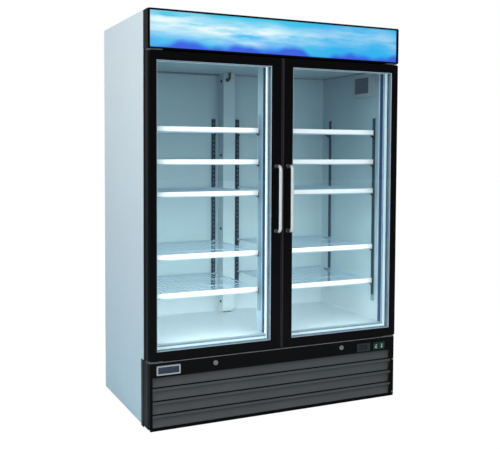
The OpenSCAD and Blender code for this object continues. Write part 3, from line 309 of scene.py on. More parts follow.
# The finish of each slot in the record, named for the real material. The line above it says what the eye sees
FINISHES = {
    # Pale grey-blue with a soft broad sheen, and painted shade, bluer and darker towards the floor
    "white_steel": powder_coat("white_powder_coated_steel", "#d8e4ea", "#dfe9ee", 0.4,
                               shade=("Z", 10, 2000, SIDE_SHADE)),
    # Dull grey with large crystals
    "galvanised": spangled("galvanised_steel", "#8f979c", "#b3babe", 0.42),
    # Matt, cream, pitted by its bubbles
    "foam": moulded("polyurethane_foam", "#d8cfa0", "#e8e0b8", 0.9, 2.0, 0.5),
    # Smooth cold white, with painted shade that dims it towards the ceiling
    "liner_white": powder_coat("enamelled_aluminium_liner", "#d9e9ee", "#e2eff3", 0.35, 6.0, 0.02,
                               ("Z", 420, 1800, CABIN_SHADE)),
    # Black, with a faint grain that breaks its reflections
    "black_trim": moulded("extruded_black_abs", "#040405", "#060709", 0.42, specular=0.12),
    # Almost no colour, a soft light line along each bevel
    "black_metal": powder_coat("black_powder_coated_steel", "#030304", "#050505", 0.32, specular=0.12),
    # Deep black, a fine line along the die
    "black_aluminium": brushed("black_anodised_aluminium", "#040304", "#060506", 0.32, 2, Metallic=0.0,
                               specular=0.12),
    # A print lit from behind through opal sheet
    "sign_acrylic": sign_print(),
    # An even white glow
    "lamp": moulded("opal_polycarbonate_diffuser", "#f4fbff", "#ffffff", 0.4, Emission_Color=lin("#f2f9ff"),
                    Emission_Strength=0.9),
    # Dark grey and dull
    "chassis": powder_coat("dark_grey_chassis_paint", "#1a1d20", "#24282c", 0.5),
    # Satin charcoal; painted light at the right end, a warm tint where the end plates catch the light
    "grille": powder_coat("charcoal_powder_coated_steel", "#3f4243", "#484b4c", 0.5, specular=0.25,
                          shade=("X", 600, 690, ((0.4, "#ffffff"), (0.44, "#fff2ec")))),
    # Fine lines along its length
    "badge": brushed("brushed_aluminium_plate", "#b8bdc1", "#dfe3e5", 0.3, Metallic=0.8),
    # Satin near-black, a little grain
    "display": moulded("grey_abs_bezel", "#181b1d", "#202426", 0.4),
    # Deep and glossy
    "switch_green": moulded("green_polycarbonate", "#0c3d2f", "#10503c", 0.16, 2.0, 0.01),
    # Bright, slightly blurred
    "chrome": brushed("chromed_zinc_casting", "#8c8c8e", "#a6a6a8", 0.3, Metallic=0.9),
    # Blue-black, dull
    "standard_steel": powder_coat("blue_black_painted_steel", "#142436", "#1b2f46", 0.5, specular=0.25),
    # White strips and pale blue wires in a thick soft skin
    "shelf_white": powder_coat("white_vinyl_dipped_wire", "#fafdff", "#ffffff", 0.32, 4.0, 0.05,
                               ("Y", 120, 140, ((0.5, "#f0eef0"), (0.6, "#b4cfe2")))),
    # A touch paler than the liner behind it, with the same painted shade towards the ceiling
    "duct_white": powder_coat("enamelled_steel_duct", "#deeaee", "#e7f2f5", 0.4, 6.0, 0.02,
                              ("Z", 420, 1900, CABIN_SHADE)),
    # Bright fins between copper ends
    "coil": finned("condenser_fins_and_copper_ends", 230.5, -300.0),
    # Matt charcoal with a rough grain
    "fan_frame": moulded("glass_filled_nylon", "#15181a", "#202427", 0.55, 0.6, 0.06),
    # Hard black gloss
    "compressor_black": powder_coat("black_stove_enamel", "#0b0c0e", "#121417", 0.22),
    # Warm, lightly streaked, tarnished in patches
    "copper": brushed("drawn_copper", "#8f5030", "#c4814f", 0.3, 2, 3.0),
    # Grey with small dimples
    "grey_steel": powder_coat("grey_hammer_paint", "#5d656b", "#707980", 0.42, 4.0, 0.2),
    # Matt black, faint bloom
    "rubber": moulded("black_vulcanised_rubber", "#101214", "#191c1f", 0.7),
    # Cool silver with a blurred sheen
    "zinc": brushed("bright_zinc_plate", "#b4b8bb", "#d6dadc", 0.3, Metallic=0.9),
    # A pale border, and darker slats in the window that the slots fill
    "vent_grey": patched(moulded("pale_abs_cover_with_dark_slats", "#8c9da6", "#97a8b0", 0.5, specular=0.2),
                         None, "#516a7c", *COVER_WINDOW),
    # Clear, with reflections
    "glazing": glass(),
    # Grey-blue, drawn lines
    "spacer": brushed("anodised_spacer_bar", "#8ea2b2", "#a8bac6", 0.4, 2, Metallic=0.3),
    # Bright in front; painted reflection darkens the legs towards the door, as the black door shows in them
    "handle_tube": powder_coat("satin_stainless_tube", "#e2e9e8", "#eef3f2", 0.34, 1.4, 0.003,
                               ("Y", -58, 0, ((0.25, "#ffffff"), (0.45, "#6c6c6e"))), Metallic=0.6),
}

# Finishes that the record has no slot of its own for, each with the slot that it belongs to
EXTRAS = {
    # Painted light: a faint glow stands in for the cabin's light falling on it
    "white_pvc": (moulded("white_pvc_extrusion_painted_glow", "#f0f8fb", "#fafeff", 0.35,
                          Emission_Color=lin("#c4e8f6"), Emission_Strength=0.35), "liner_white"),
    # Grey-blue, satin; at the sills it is painted shade on the liner's flange
    "grey_bead": (moulded("grey_blue_pvc_bead", "#8aa0b2", "#9db1c1", 0.4), "spacer"),
    # Painted shade: a grey-blue bead under each white strip
    "ticket_bead": (moulded("pvc_lip_painted_shade", "#93a9b8", "#a0b4c2", 0.4), "shelf_white"),
    # Blue-black line round the panes
    "dark_seal": (moulded("blue_black_tpe_seal", "#1c3548", "#28445a", 0.5), "rubber"),
    # Slate line in the corners under the ceiling, painted shade there
    "grey_seal": (moulded("slate_sealant_painted_shade", "#46606c", "#50707c", 0.6, 3.0, 0.1), "rubber"),
    # Dim grey line between the doors
    "grey_wiper": (moulded("grey_pvc_wiper", "#4a484b", "#5a595d", 0.4), "black_trim"),
    # Dark satin edge, a little warm
    "edge_guard": (moulded("dark_satin_pvc_guard", "#1b1719", "#241f22", 0.5, specular=0.3), "black_trim"),
    # Dark heads on white sheet
    "black_screw": (moulded("blackened_steel_screw", "#0c1218", "#141c24", 0.5, specular=0.2), "zinc"),
    # Smoky mirror at the handles' feet
    "dark_chrome": (brushed("smoked_chrome", "#5c5c60", "#7c7c80", 0.25, Metallic=0.9), "handle_tube"),
    # Soft bright line on the ledge
    "bright_strip": (brushed("satin_aluminium_strip", "#8d9295", "#b4b8ba", 0.35, Metallic=0.7), "zinc"),
    # Glossy black window
    "smoked_lens": (moulded("smoked_polycarbonate_lens", "#04060a", "#080b10", 0.08, 4.0, 0.0), "display"),
    # Unlit digits, just seen
    "dim_segment": (moulded("unlit_segment_plastic", "#1c1516", "#261c1d", 0.3), "display"),
    # White marks on green
    "white_ink": (moulded("white_pad_print", "#dff5ea", "#ecfff6", 0.4), "switch_green"),
    # Smooth navy field, left bare
    "dark_inset": (moulded("navy_enamel_inset", "#1a2432", "#243142", 0.2), "badge"),
    # Dim mesh behind the wall cover's slots
    "dark_filter": (moulded("dark_mesh_filter", "#2c4456", "#3a5468", 0.7, 1.2, 0.3), "vent_grey"),
    # Matt black, soft skin
    "pipe_foam": (moulded("closed_cell_insulation", "#141517", "#1d1f21", 0.85, 1.5, 0.2), "rubber"),
}

# Nodes whose slot isn't enough for what they show
OWN = {
    # A black front, a blue-black channel behind it and a pale grey-blue rear half
    "centre_mullion": moulded(
        "mullion_abs_and_enamel", "#f4f6f8", "#ffffff", 0.41, 0.8, 0.02,
        ("Y", 60, 200, ((0.08, "#0c0e11"), (0.1, "#153a5a"), (0.5, "#1b486c"), (0.53, "#b4cfdd"),
                        (1.0, "#bdd6e2"))), specular=0.1),
    # Black in front, a pale bead and a navy throat behind it, and the liner's own pale end
    "face_frame": moulded(
        "face_frame_abs_and_navy_throat", "#f4f6f8", "#ffffff", 0.45, 0.8, 0.02,
        ("Y", 60, 130, ((0.14, "#050506"), (0.16, "#d4e6f2"), (0.27, "#d4e6f2"), (0.3, "#1c4680"),
                        (0.69, "#22508e"), (0.72, "#e4f0f6"))), specular=0.2),
    # Blue-black slotted faces, grey-blue at the walls, on the mullion and at the feet
    "shelf_standards": patched(patched(
        moulded("painted_shelf_standards", "#0f2b41", "#153751", 0.46, 2.0, swing=0.04, specular=0.15),
        FLANGE_BLUE, None, ("Z", FOOT_Z, 2000), ("X", 6 - IN_X, IN_X - 6)),
        None, FLANGE_BLUE, ("X", -60, 60)),
    # Dark green, satin
    "switch_housings": moulded("dark_green_abs", "#0a211b", "#0f2c23", 0.35),
    # Bright fins between copper ends
    "evaporator_coil": finned("evaporator_fins_and_copper_ends", 300.5),
}


def paint_nodes():
    """Gives every CAD node its own finish, or that of its slot in the record."""
    for part in frame["record"]["subparts"]:
        mesh = frame["nodes"][part["node"]].data
        mesh.materials.clear()
        mesh.materials.append(OWN.get(part["node"]) or FINISHES[part["material_slot"]])


paint_nodes()

# Shapes: a skin is its points and its groups of faces
OBLIQUE = np.array([0.36, 0.48, 0.80])


def loft(rings, loop=False):
    """Skin over rings of points: ring i joins ring i + 1 point by point; the ends are capped or joined."""
    rings = np.asarray(rings, float)
    m, n, _ = rings.shape
    i, j = np.meshgrid(np.arange(m if loop else m - 1), np.arange(n), indexing="ij")
    up, on = (i + 1) % m, (j + 1) % n
    quads = np.stack([i * n + j, i * n + on, up * n + on, up * n + j], -1).reshape(-1, 4)
    ends = np.stack([np.arange(n)[::-1], np.arange((m - 1) * n, m * n)])
    return rings.reshape(-1, 3), [quads] if loop else [quads, ends]


def circle(ahead, sides):
    """Unit circle square to each direction: cos a * side + sin a * over.

    Side is a slanting line crossed with the direction, and over is the direction crossed with side."""
    turn = 2 * np.pi * np.arange(sides)[:, None] / sides
    side = np.cross(OBLIQUE, ahead)
    side /= np.linalg.norm(side, axis=-1, keepdims=True)
    over = np.cross(ahead, side)
    return np.cos(turn) * side[..., None, :] + np.sin(turn) * over[..., None, :]


def ring(middle, radius, points):
    """A circle of points in x and z: middle + r (cos a, 0, sin a)."""
    turn = 2 * np.pi * np.arange(points)[:, None] / points
    return np.array(middle) + radius * (np.cos(turn) * RIGHT + np.sin(turn) * UP)


def tube(path, radius, sides=12, loop=False):
    """A circle carried along a path of points, square to the line through each point's neighbours."""
    path = np.asarray(path, float)
    ahead = np.roll(path, -1, 0) - np.roll(path, 1, 0) if loop else np.gradient(path, axis=0)
    ahead /= np.linalg.norm(ahead, axis=1, keepdims=True)
    wide = np.broadcast_to(radius, len(path))[:, None, None]
    return loft(path[:, None] + wide * circle(ahead, sides), loop)


def bent(corners, radius, steps=9):
    """A path with rounded corners: each corner P becomes (1-t)^2 (P - d u) + 2 t (1-t) P + t^2 (P + d v).

    There u and v run into and out of it, and d is the radius, or half the shorter run."""
    p = np.asarray(corners, float)
    run = np.diff(p, axis=0)
    length = np.linalg.norm(run, axis=1, keepdims=True)
    way = run / length
    d = np.minimum(radius, 0.5 * np.minimum(length[:-1], length[1:]))[:, None]
    t = np.linspace(0, 1, steps)[None, :, None]
    at = p[1:-1, None]
    arcs = (1 - t) ** 2 * (at - d * way[:-1, None]) + 2 * t * (1 - t) * at + t ** 2 * (at + d * way[1:, None])
    return np.concatenate([p[:1], arcs.reshape(-1, 3), p[-1:]])


def turned(profile, at, axis, sides=32, loop=False):
    """Lathe form: an outline of (along, radius) turned about an axis through a point."""
    along, radius = np.asarray(profile, float).T[..., None, None]
    return loft(np.asarray(at) + along * np.array(axis) + radius * circle(axis, sides), loop)


def block(low, high, edge, steps=3):
    """A block with rounded edges: a ball of that radius, cut in eight and moved apart to its corners."""
    low, high = np.array(low, float), np.array(high, float)
    quarter = np.linspace(0, 90, steps + 1)
    lat = np.radians(np.concatenate([quarter - 90, quarter]))[:, None]
    lon = np.radians((np.arange(4)[:, None] * 90 + quarter).ravel())[None]
    ball = np.stack([np.cos(lat) * np.cos(lon), np.cos(lat) * np.sin(lon), np.sin(lat) + 0 * lon], -1)
    signs = np.empty_like(ball)
    signs[..., 0] = np.repeat([1, -1, -1, 1], steps + 1)
    signs[..., 1] = np.repeat([1, 1, -1, -1], steps + 1)
    signs[..., 2] = np.repeat([-1, 1], steps + 1)[:, None]
    return loft((low + high) / 2 + signs * ((high - low) / 2 - edge) + edge * ball)


def extruded(outline, axis, start, stop, at=(0, 0)):
    """An outline, moved by at, carried straight along one axis; its numbers are the other two in order."""
    rings = np.empty((2, len(outline), 3))
    rings[:, :, [i for i in range(3) if i != axis]] = np.asarray(outline) + at
    rings[:, :, axis] = [[start], [stop]]
    return loft(rings)


def mitred(window, profile, y=0.0):
    """A closed outline of (outward, beyond y) carried round a window in x and z, with 45 degree corners."""
    left, right, low, top = window
    out, deep = np.asarray(profile, float).T
    x = np.array([left - out, right + out, right + out, left - out])
    z = np.array([low - out, low - out, top + out, top + out])
    return loft(np.stack([x, deep + y + 0 * x, z], -1), loop=True)


def inset(name, by):
    """The window in x and z that a node's outline leaves when it is drawn in."""
    low, high = span(name)
    return low[0] + by, high[0] - by, low[2] + by, high[2] - by


def screw_head(at, axis, radius, height):
    """Pan head with a cross recess: it rises height (1 - 0.5 s^2) at a share s of its radius.

    A fixed depth comes off where one coordinate across it is small and the other within the cross."""
    sides, arm_half, arm_reach, recess = 40, 0.13, 0.55, 0.45
    share = np.concatenate([np.linspace(0.03, 0.9, 15), [0.97, 1.0, 1.0]])[:, None]
    turn = 2 * np.pi * np.arange(sides) / sides
    a, b = np.abs(share * np.cos(turn)), np.abs(share * np.sin(turn))
    cross = (np.minimum(a, b) < arm_half) & (np.maximum(a, b) < arm_reach)
    rise = height * (1 - 0.5 * share ** 2 - recess * cross)
    rise[-1] = 0.0
    rings = rise[..., None] * np.array(axis) + radius * share[..., None] * circle(axis, sides)
    return loft(np.array(at) + rings)


def other_side(skins):
    """The same skins on the other side of the centre line."""
    return [(points * (-1, 1, 1), faces) for points, faces in skins]


def both(skins):
    """Skins on both sides of the centre line."""
    return skins + other_side(skins)


def piece(name, skins, finish, body="cabinet", replaces=()):
    """Joins skins into one mesh with outward faces and soft or sharp edges by angle, riding on a body."""
    weld, sharp = 1e-6, math.radians(35)
    material, slot = EXTRAS.get(finish) or (FINISHES[finish], finish)
    starts = np.cumsum([0] + [len(points) for points, _ in skins])
    faces = [f for start, (_, groups) in zip(starts, skins) for g in groups for f in (g + start).tolist()]
    mesh = bpy.data.meshes.new(name)
    mesh.from_pydata(metres(np.concatenate([points for points, _ in skins])), [], faces)
    shell = bmesh.new()
    shell.from_mesh(mesh)
    bmesh.ops.remove_doubles(shell, verts=shell.verts, dist=weld)
    bmesh.ops.recalc_face_normals(shell, faces=shell.faces)
    shell.to_mesh(mesh)
    shell.free()
    mesh.shade_smooth()
    mesh.set_sharp_from_angle(angle=sharp)
    mesh.materials.append(material)
    made = add(name, mesh)
    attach(made, body)
    if replaces:
        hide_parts(*replaces)


# What is made for the right side, with what turns it over to the left
SIDES = (("left", other_side), ("right", list))

# Doors
WINDOW = (60.0, 660.0, 382.0, 1762.0)
DOOR_LOW, DOOR_HIGH = span("right_door_frame")


def door_rings():
    """Rings round a door's window and its gasket, on the right door: each is one outline carried round."""
    pane_back, liner_back = span("right_door_glass")[1][1], DOOR_HIGH[1] + 0.2
    bead = mitred(WINDOW, [(0.3, 0.4), (-2.4, 1.4), (-2.8, 5), (0.3, 5)])
    dart = mitred(WINDOW, [(0.3, 0.2), (-3, 0.2), (-3.4, 1.2), (-3, 3), (0.3, 3)], pane_back)
    seal = mitred(WINDOW, [(0.3, 29), (-1.6, 29), (-2, 31), (-1.4, 41.5), (0.3, 41.5)])
    liner = mitred(WINDOW, [(0.3, 42), (-1.8, 42.4), (-1.8, 55.5), (0, 57.2), (4, 57.2), (5, 56),
                            (5, liner_back), (0.3, liner_back)])
    low, high = span("right_door_gasket")
    front, back = low[1] + 0.1, high[1]
    gasket = mitred(inset("right_door_gasket", 16), [
        (0.8, front), (15.2, front), (15.6, front + 1.2), (13.8, front + 2.4), (15.6, front + 3.6),
        (16, back - 0.8), (15.2, back), (0.8, back), (0, back - 0.8), (0.4, front + 3.6), (2.2, front + 2.4),
        (0.4, front + 1.2)])
    return (("glazing_bead", [bead, dart], "grey_bead"), ("inner_seal", [seal], "dark_seal"),
            ("door_liner_trim", [liner], "white_pvc"), ("bellows_gasket", [gasket], "rubber"))


def handle_collars():
    """Turned feet where a handle's two legs meet the door."""
    low, high = span("right_door_handle")
    x, leg = (low[0] + high[0]) / 2, 8.0
    outline = [(0, 8.2), (0, 11), (1.4, 11), (2.6, 10.4), (4.2, 8.9), (4.4, 8.2)]
    return [turned(outline, (x, 0, z), OUT, loop=True) for z in (low[2] + leg, high[2] - leg)]


def make_doors():
    """Every trim on both doors. The guard on the left door's free edge is half as thick."""
    low, high = DOOR_LOW[2] + 1, DOOR_HIGH[2] - 1
    guard = np.array([(0.2, 8), (0, 2.4), (0.6, 0.2), (2.2, -1.1), (8.4, -1.2), (9.2, -0.6), (9.4, 0.4),
                      (6.6, 0.5), (2, 3), (1.4, 8)])
    cap = [(-0.6, 3), (1.4, 3.4), (2.6, 5), (2.6, 45), (1.4, 46.6), (-0.6, 47)]
    wiper = [(2.4, 8), (-0.6, 7), (-1.2, 9), (-1.2, 40), (-0.6, 42), (2.4, 41)]
    for (side, turn_over), slim in zip(SIDES, (0.5, 1.0)):
        door = side + "_door"
        for name, skins, finish in door_rings():
            gone = (door + "_gasket",) if name == "bellows_gasket" else ()
            piece(f"{side}_{name}", turn_over(skins), finish, door, gone)
        piece(side + "_handle_collars", turn_over(handle_collars()), "dark_chrome", door)
        strip = extruded(guard * (slim, 1), 2, low, high, (1, 0))
        piece(side + "_edge_guard", turn_over([strip]), "edge_guard", door)
        edge_cap = extruded(cap, 2, low, high, (SIDE_X, 0))
        piece(side + "_door_edge_cap", turn_over([edge_cap]), "black_trim", door)
    piece("meeting_edge_wiper", [extruded(wiper, 2, low + 1, high - 1)], "grey_wiper", "right_door")


make_doors()

# Front of the cabinet
OPENING = (35.0, 662.0, 366.0, 1772.0)
FACE_Y, EDGE_Y = 58.0, 70.0
FLOOR_Z = 395.0
PLINTH_Z = span("lower_fascia")[1][2]
# Where the trims on the sides end at the top
SIDE_TOP = 1998.5


def make_opening_trims():
    """White returns in the two openings, with a rising nose and a grey bead at the sill, painted shade on the
    liner's flange.
    """
    left, right, low, _ = OPENING
    back = EDGE_Y - 0.1
    returns = mitred(OPENING, [(0, FACE_Y + 0.3), (-1.6, FACE_Y + 0.9), (-1.6, back), (0, back)])
    nose = [(FACE_Y + 0.4, low + 1.6), (62, 379), (65.5, 386.6), (68, 388.4), (back, 388.6),
            (back, low + 1.6)]
    bead = [(67, 389), (back, 388.8), (back, FLOOR_Z), (67.6, FLOOR_Z - 0.6), (66.4, 392)]
    piece("opening_trims", both([returns, extruded(nose, 0, left + 1.6, right - 1.6)]), "white_pvc")
    piece("sill_beads", both([extruded(bead, 0, left + 12, right - 2)]), "grey_bead")


def make_led_strips():
    """Half-round diffusers on the mullion's sides, in end caps, and the sign's two lamps in their holders."""
    x, y, low, high = 46.0, 73.0, 398.0, 1782.0
    wide, deep, cap = 10.0, 14.0, 7.0
    a = np.radians(np.linspace(-90, 90, 13))
    bulge = np.stack([3 + (wide - 3) * np.cos(a), deep / 2 * (1 + np.sin(a))], -1)
    outline = np.concatenate([[(0, 0.6)], bulge, [(0, deep - 0.6)]])
    diffuser = extruded(outline, 2, low + cap, high - cap, (x, y))
    caps = [block((x, y - 0.4, z), (x + wide + 0.4, y + deep + 0.4, z + cap), 1.2) for z in (low, high - cap)]
    piece("cabin_diffusers", both([diffuser]), "lamp", replaces=("light_tubes",))
    piece("diffuser_caps", both(caps), "white_pvc", replaces=("light_tubes",))
    lamp_y, rows, half = 52.0, (1863, 1950), 630.0
    end = [(0, 2), (0, 9), (2, 12), (6, 13)]
    outline = end + [(2 * half - along, radius) for along, radius in end[::-1]]
    lamps = [turned(outline, (-half, lamp_y, z), RIGHT, 20) for z in rows]
    holders = [block((half, lamp_y - 16, z - 20), (half + 22, 84, z + 20), 4.0) for z in rows]
    piece("sign_lamps", lamps, "lamp", replaces=("light_tubes",))
    piece("sign_lampholders", both(holders), "white_pvc", replaces=("light_tubes",))


def make_front_trims():
    """Strip on the ledge, caps, returns and hems on the sides, the skirt, and screws in the hinge plates."""
    half, sides = 694.0, (SIDE_X, 0)
    strip = [(-0.7, 0), (-0.9, 1.4), (0.2, 2), (7, 2), (7.4, 0)]
    cap = [(-0.8, 1), (1.8, 1.4), (3, 3), (3, 55), (1.8, 56.6), (-0.8, 57)]
    strap = [(-0.8, 59), (0.8, 59.4), (1.2, 60.4), (1.2, 78.6), (0.8, 79.6), (-0.8, 80)]
    wrap = [(-0.8, 80), (0.8, 80), (1.6, 81), (1.6, 118.6), (1, 119.8), (-0.8, 120)]
    hem = [(-0.8, 80.4), (0.6, 80.6), (0.9, 82), (0.9, 90), (0.4, 91), (-0.8, 91)]
    skirt = [(1, 1.5), (0.2, 2.4), (0.2, 11), (3, 11), (3, 1.5)]
    caps = [extruded(cap, 2, span("header_frame")[0][2] + 1, SIDE_TOP, sides)]
    returns = [extruded(strap, 2, PLINTH_Z + 1, SIDE_TOP, sides), extruded(wrap, 2, 1.5, PLINTH_Z, sides)]
    plate_low, plate_top, plate_y = 334, 1809, 44
    heads = [screw_head((x, plate_y, z), way, 4.5, 1.6) for x in (642, 664)
             for z, way in ((plate_low, UP), (plate_top, DOWN))]
    piece("ledge_strip", [extruded(strip, 0, -half, half, (0, PLINTH_Z))], "bright_strip")
    piece("sign_box_end_caps", both(caps), "black_trim")
    piece("side_returns", both(returns), "black_metal")
    piece("side_panel_hems", both([extruded(hem, 2, PLINTH_Z + 1, SIDE_TOP, sides)]), "white_steel")
    piece("front_skirt", [extruded(skirt, 0, -half, half)], "black_metal")
    piece("hinge_plate_screws", both(heads), "zinc")


def make_screws():
    """Cross-recess heads in the fascia and the duct, at the same places as the fixings they stand for."""
    x, rows = 688.5, (204, 24)
    fascia = [screw_head((x, 0, z), OUT, 4.5, 3.0) for z in rows]
    fascia += [turned([(0, 1.9), (11, 1.9), (12, 0.8)], (x, 0, z), BACK, 12) for z in rows]
    low, _ = span("rear_duct")
    duct_rows = FLOOR_Z + 65 + 427 * np.arange(4)
    duct = [screw_head((low[0], low[1] + 30, z), (-1, 0, 0), 7.5, 8.0) for z in duct_rows]
    piece("fascia_screws", fascia, "zinc", replaces=("panel_screws",))
    piece("duct_screws", duct, "black_screw", replaces=("panel_screws",))


def make_louvre_edges():
    """A black bead under the lip of each blade, painted shade in the gap there, and a slanted black stop over
    its right end.
    """
    low, high = span("front_grille")
    pitch = 65.0
    bead = [(3, 2.6), (-0.4, 2.4), (-1.2, 1), (-0.8, -2.2), (0.4, -3), (3, -3)]
    stop = [(1, -3), (-24, -3), (-24, 4), (-9, 54), (-9, 62), (1, 62)]
    blades = low[2] + pitch * np.arange(4)
    beads = [extruded(bead, 0, low[0] + 0.5, high[0] - 0.5, (low[1], z)) for z in blades]
    stops = [extruded(stop, 1, low[1] - 1.4, low[1] + 1.5, (high[0], z)) for z in blades]
    piece("louvre_beads", beads, "black_metal")
    piece("louvre_end_stops", stops, "black_metal")


def make_badge():
    """Bare badge: a rolled silver rim round a dark enamel field."""
    rim = [(0, -1.4), (0, -2.2), (1.5, -2.9), (5, -2.9), (6.5, -2.2), (6.5, -1.4)]
    left, right, low, top = inset("badge_plate", 6.5)
    piece("badge_rim", [mitred(inset("badge_plate", 7), rim)], "badge")
    piece("badge_field", [block((left, -2.1, low), (right, -1.4, top), 0.3)], "dark_inset")


def segments(x, z):
    """One unlit seven-bar digit: bars of one pointed outline, upright or lying, round two squares."""
    half, thick, step = 3.6, 0.7, 4.2
    bar = np.array([(-half, 0), (thick - half, thick), (half - thick, thick), (half, 0),
                    (half - thick, -thick), (thick - half, -thick)])
    bars = [bar + (0, row) for row in (2 * step, 0, -2 * step)]
    bars += [bar[:, ::-1] + (across, row) for across in (-step, step) for row in (-step, step)]
    return [extruded(outline, 1, -3.05, -2.7, (x, z)) for outline in bars]


def make_controls():
    """Display lens with two unlit digits, two keys beside it, and marks on the rockers."""
    low, high = span("temperature_display")
    left, right, z = low[0] + 14, high[0] - 22, (low[2] + high[2]) / 2
    lens = block((left + 0.3, -3, z - 11.7), (right - 0.3, -2, z + 11.7), 0.45)
    rim = [(0, -2.6), (0.2, -3.5), (1.4, -3.7), (2.2, -3.2), (2.2, -2.6)]
    key = [(0, 3.2), (0.8, 3.2), (1.4, 2.6), (1.6, 1.2)]
    keys = [turned(key, (right + 10, -3, z + up), OUT, 24) for up in (-7, 7)]
    piece("display_lens", [lens], "smoked_lens")
    piece("display_digits", segments(left + 14, z) + segments(left + 29, z), "dim_segment")
    piece("display_rim_and_keys", [mitred((left, right, z - 12, z + 12), rim)] + keys, "display")
    pin_y, pin_z, tilt = 5.0, 287.0, math.radians(8)
    rock = np.array([RIGHT, (0, math.cos(tilt), -math.sin(tilt)), (0, math.sin(tilt), math.cos(tilt))])
    marks = [block((-1.1, -6.5, 2.6), (1.1, -5.8, 10.6), 0.25),
             tube(ring((0, -6.1, -6.4), 3.0, 28), 0.9, 8, loop=True)]
    for side, _ in SIDES:
        low, high = span(side + "_rocker")
        pin = ((low[0] + high[0]) / 2, pin_y, pin_z)
        rocked = [(points @ rock.T + pin, faces) for points, faces in marks]
        piece(side + "_rocker_marks", rocked, "white_ink", side + "_switch")


def make_lock_rims():
    """Rolled rims on the lock barrels' flanges."""
    rim = [(2.4, 12.4), (3.2, 11.9), (3.5, 10.8), (3.2, 9.4), (2.4, 8.8)]
    piece("lock_rims", [turned(rim, (x, 0, 300), OUT, 40, loop=True) for x in (-360, 360)], "chrome")


make_opening_trims()
make_led_strips()
make_front_trims()
make_screws()
make_louvre_edges()
make_badge()
make_controls()
make_lock_rims()

# Inside the cabin
LINER_FRONT, CEILING_Z = 122.0, 1785.0
DUCT_LOW, DUCT_HIGH = span("rear_duct")
# Quarter of a unit circle, and a corner's own point before it
QUARTER = np.radians(np.linspace(0, 90, 7))
ROUND = np.stack([np.cos(QUARTER), np.sin(QUARTER)], -1)
CORNER = [(0.0, 0.0)]


def make_coves():
    """Sealant coves in the liner's rear corners and round its floor, broken at the duct."""
    cove = np.concatenate([CORNER, 10 - 10 * ROUND])
    upright = extruded(-cove, 2, FLOOR_Z, CEILING_Z, (IN_X, IN_Y))
    side = extruded(cove * (-1, 1), 1, LINER_FRONT, IN_Y, (IN_X, FLOOR_Z))
    rear = [extruded(cove * (-1, 1), 0, start, end, (IN_Y, FLOOR_Z))
            for start, end in ((-IN_X, DUCT_LOW[0] - 0.5), (DUCT_HIGH[0] + 0.5, IN_X))]
    piece("sealant_coves", both([upright, side]) + rear, "liner_white")


def make_ceiling_seams():
    """Seals in the corners between the ceiling cover and the walls, their slate colour painted shade: thick
    left of the duct, thin elsewhere."""
    thick, thin, top = 10.0, 3.5, CEILING_Z + 0.8
    seal = -np.concatenate([CORNER, ROUND])
    rear = [extruded(size * seal, 0, start, end, (IN_Y, top)) for size, start, end in
            ((thick, 1 - IN_X, DUCT_LOW[0] - 0.5), (thin, DUCT_HIGH[0] + 0.5, IN_X - 1))]
    side = extruded(thin * seal, 1, LINER_FRONT, IN_Y, (IN_X, top))
    piece("ceiling_seams", rear + both([side]), "grey_seal")


def make_shelf_trims():
    """On each shelf a rolled ticket channel over a grey-blue bead, painted shade under it, and under its ends
    black bent hooks.
    """
    front = 125.0
    channel = [(0, 5.2), (-1.2, 5.4), (-1.4, 23.2), (-3.4, 23.6), (-4, 25), (-3.4, 27.2), (-2, 28), (0, 28)]
    bead = [(0, 0.2), (-3, 0.2), (-3.9, 1.2), (-4, 3.6), (-3, 5), (0, 5)]
    hook = [(-12.3, 6), (-12.3, -21), (-17, -17), (-34, -4), (-34, -1), (-30, 1), (-24, 6)]
    shelves = [(shelf, *span(f"right_shelf_{shelf}")) for shelf in range(1, 6)]
    hooks = [extruded(hook, 1, 149, 152.5, (IN_X, low[2])) for _, low, _ in shelves]
    piece("shelf_hooks", both(hooks), "black_screw")
    for side, turn_over in SIDES:
        for shelf, low, high in shelves:
            name = f"{side}_shelf_{shelf}_"
            for kind, outline, finish in (("channel", channel, "shelf_white"), ("bead", bead, "ticket_bead")):
                strip = extruded(outline, 0, low[0] + 1.5, high[0] - 1.5, (front, low[2]))
                piece(name + kind, turn_over([strip]), finish, name + "body")


def make_wall_filter():
    """Dark filter sheet behind the slots of the cover on the right wall."""
    far_corner = (COVER_LOW[0] + 6, COVER_HIGH[1] - 20, COVER_HIGH[2] - 16)
    piece("wall_cover_filter", [block(COVER_LOW + (4.5, 44, 16), far_corner, 0.5)], "dark_filter")


def make_hoses():
    """Smooth drain hose down the duct, and the short hose that enters the duct in a bead of sealant."""
    middle, front = (DUCT_LOW[0] + DUCT_HIGH[0]) / 2, DUCT_LOW[1]
    x, y, foot_x, turn_z = middle - 14, 688.3, middle - 90, 250
    drain = tube(bent([(x, y, 1787), (x, y, turn_z), (foot_x, y, turn_z), (foot_x, y, 42)], 22), 6.0, 16)
    x, y, hole_z, wide = middle - 12, front - 32, 1747.7, 7.5
    short = tube(bent([(x, y, 1794), (x, y, hole_z), (x, front + 8, hole_z)], 24), wide, 16)
    collar = turned([(0, wide), (0, 12), (-2.5, 11.2), (-4.5, wide)], (x, front, hole_z), BACK, loop=True)
    top = turned([(0, wide), (0, 11), (-2, 10.4), (-3, wide)], (x, y, CEILING_Z + 0.8), UP, loop=True)
    piece("drain_hoses", [drain, short], "rubber", replaces=("drain_hose",))
    piece("hose_collars", [collar, top], "rubber")


make_coves()
make_ceiling_seams()
make_shelf_trims()
make_wall_filter()
make_hoses()

# Machine space and plenum
COND_X, COND_TUBE_Y, COND_ROWS = 230.0, (122.5, 147.5), (55.0, 105.0, 155.0, 205.0, 255.0)
COND_MIDDLE = -300.0
EVAP_END = 312.0
EVAP_Y, EVAP_Z = (443.3, 490.0, 536.7), (1806.7, 1846.0, 1885.3)


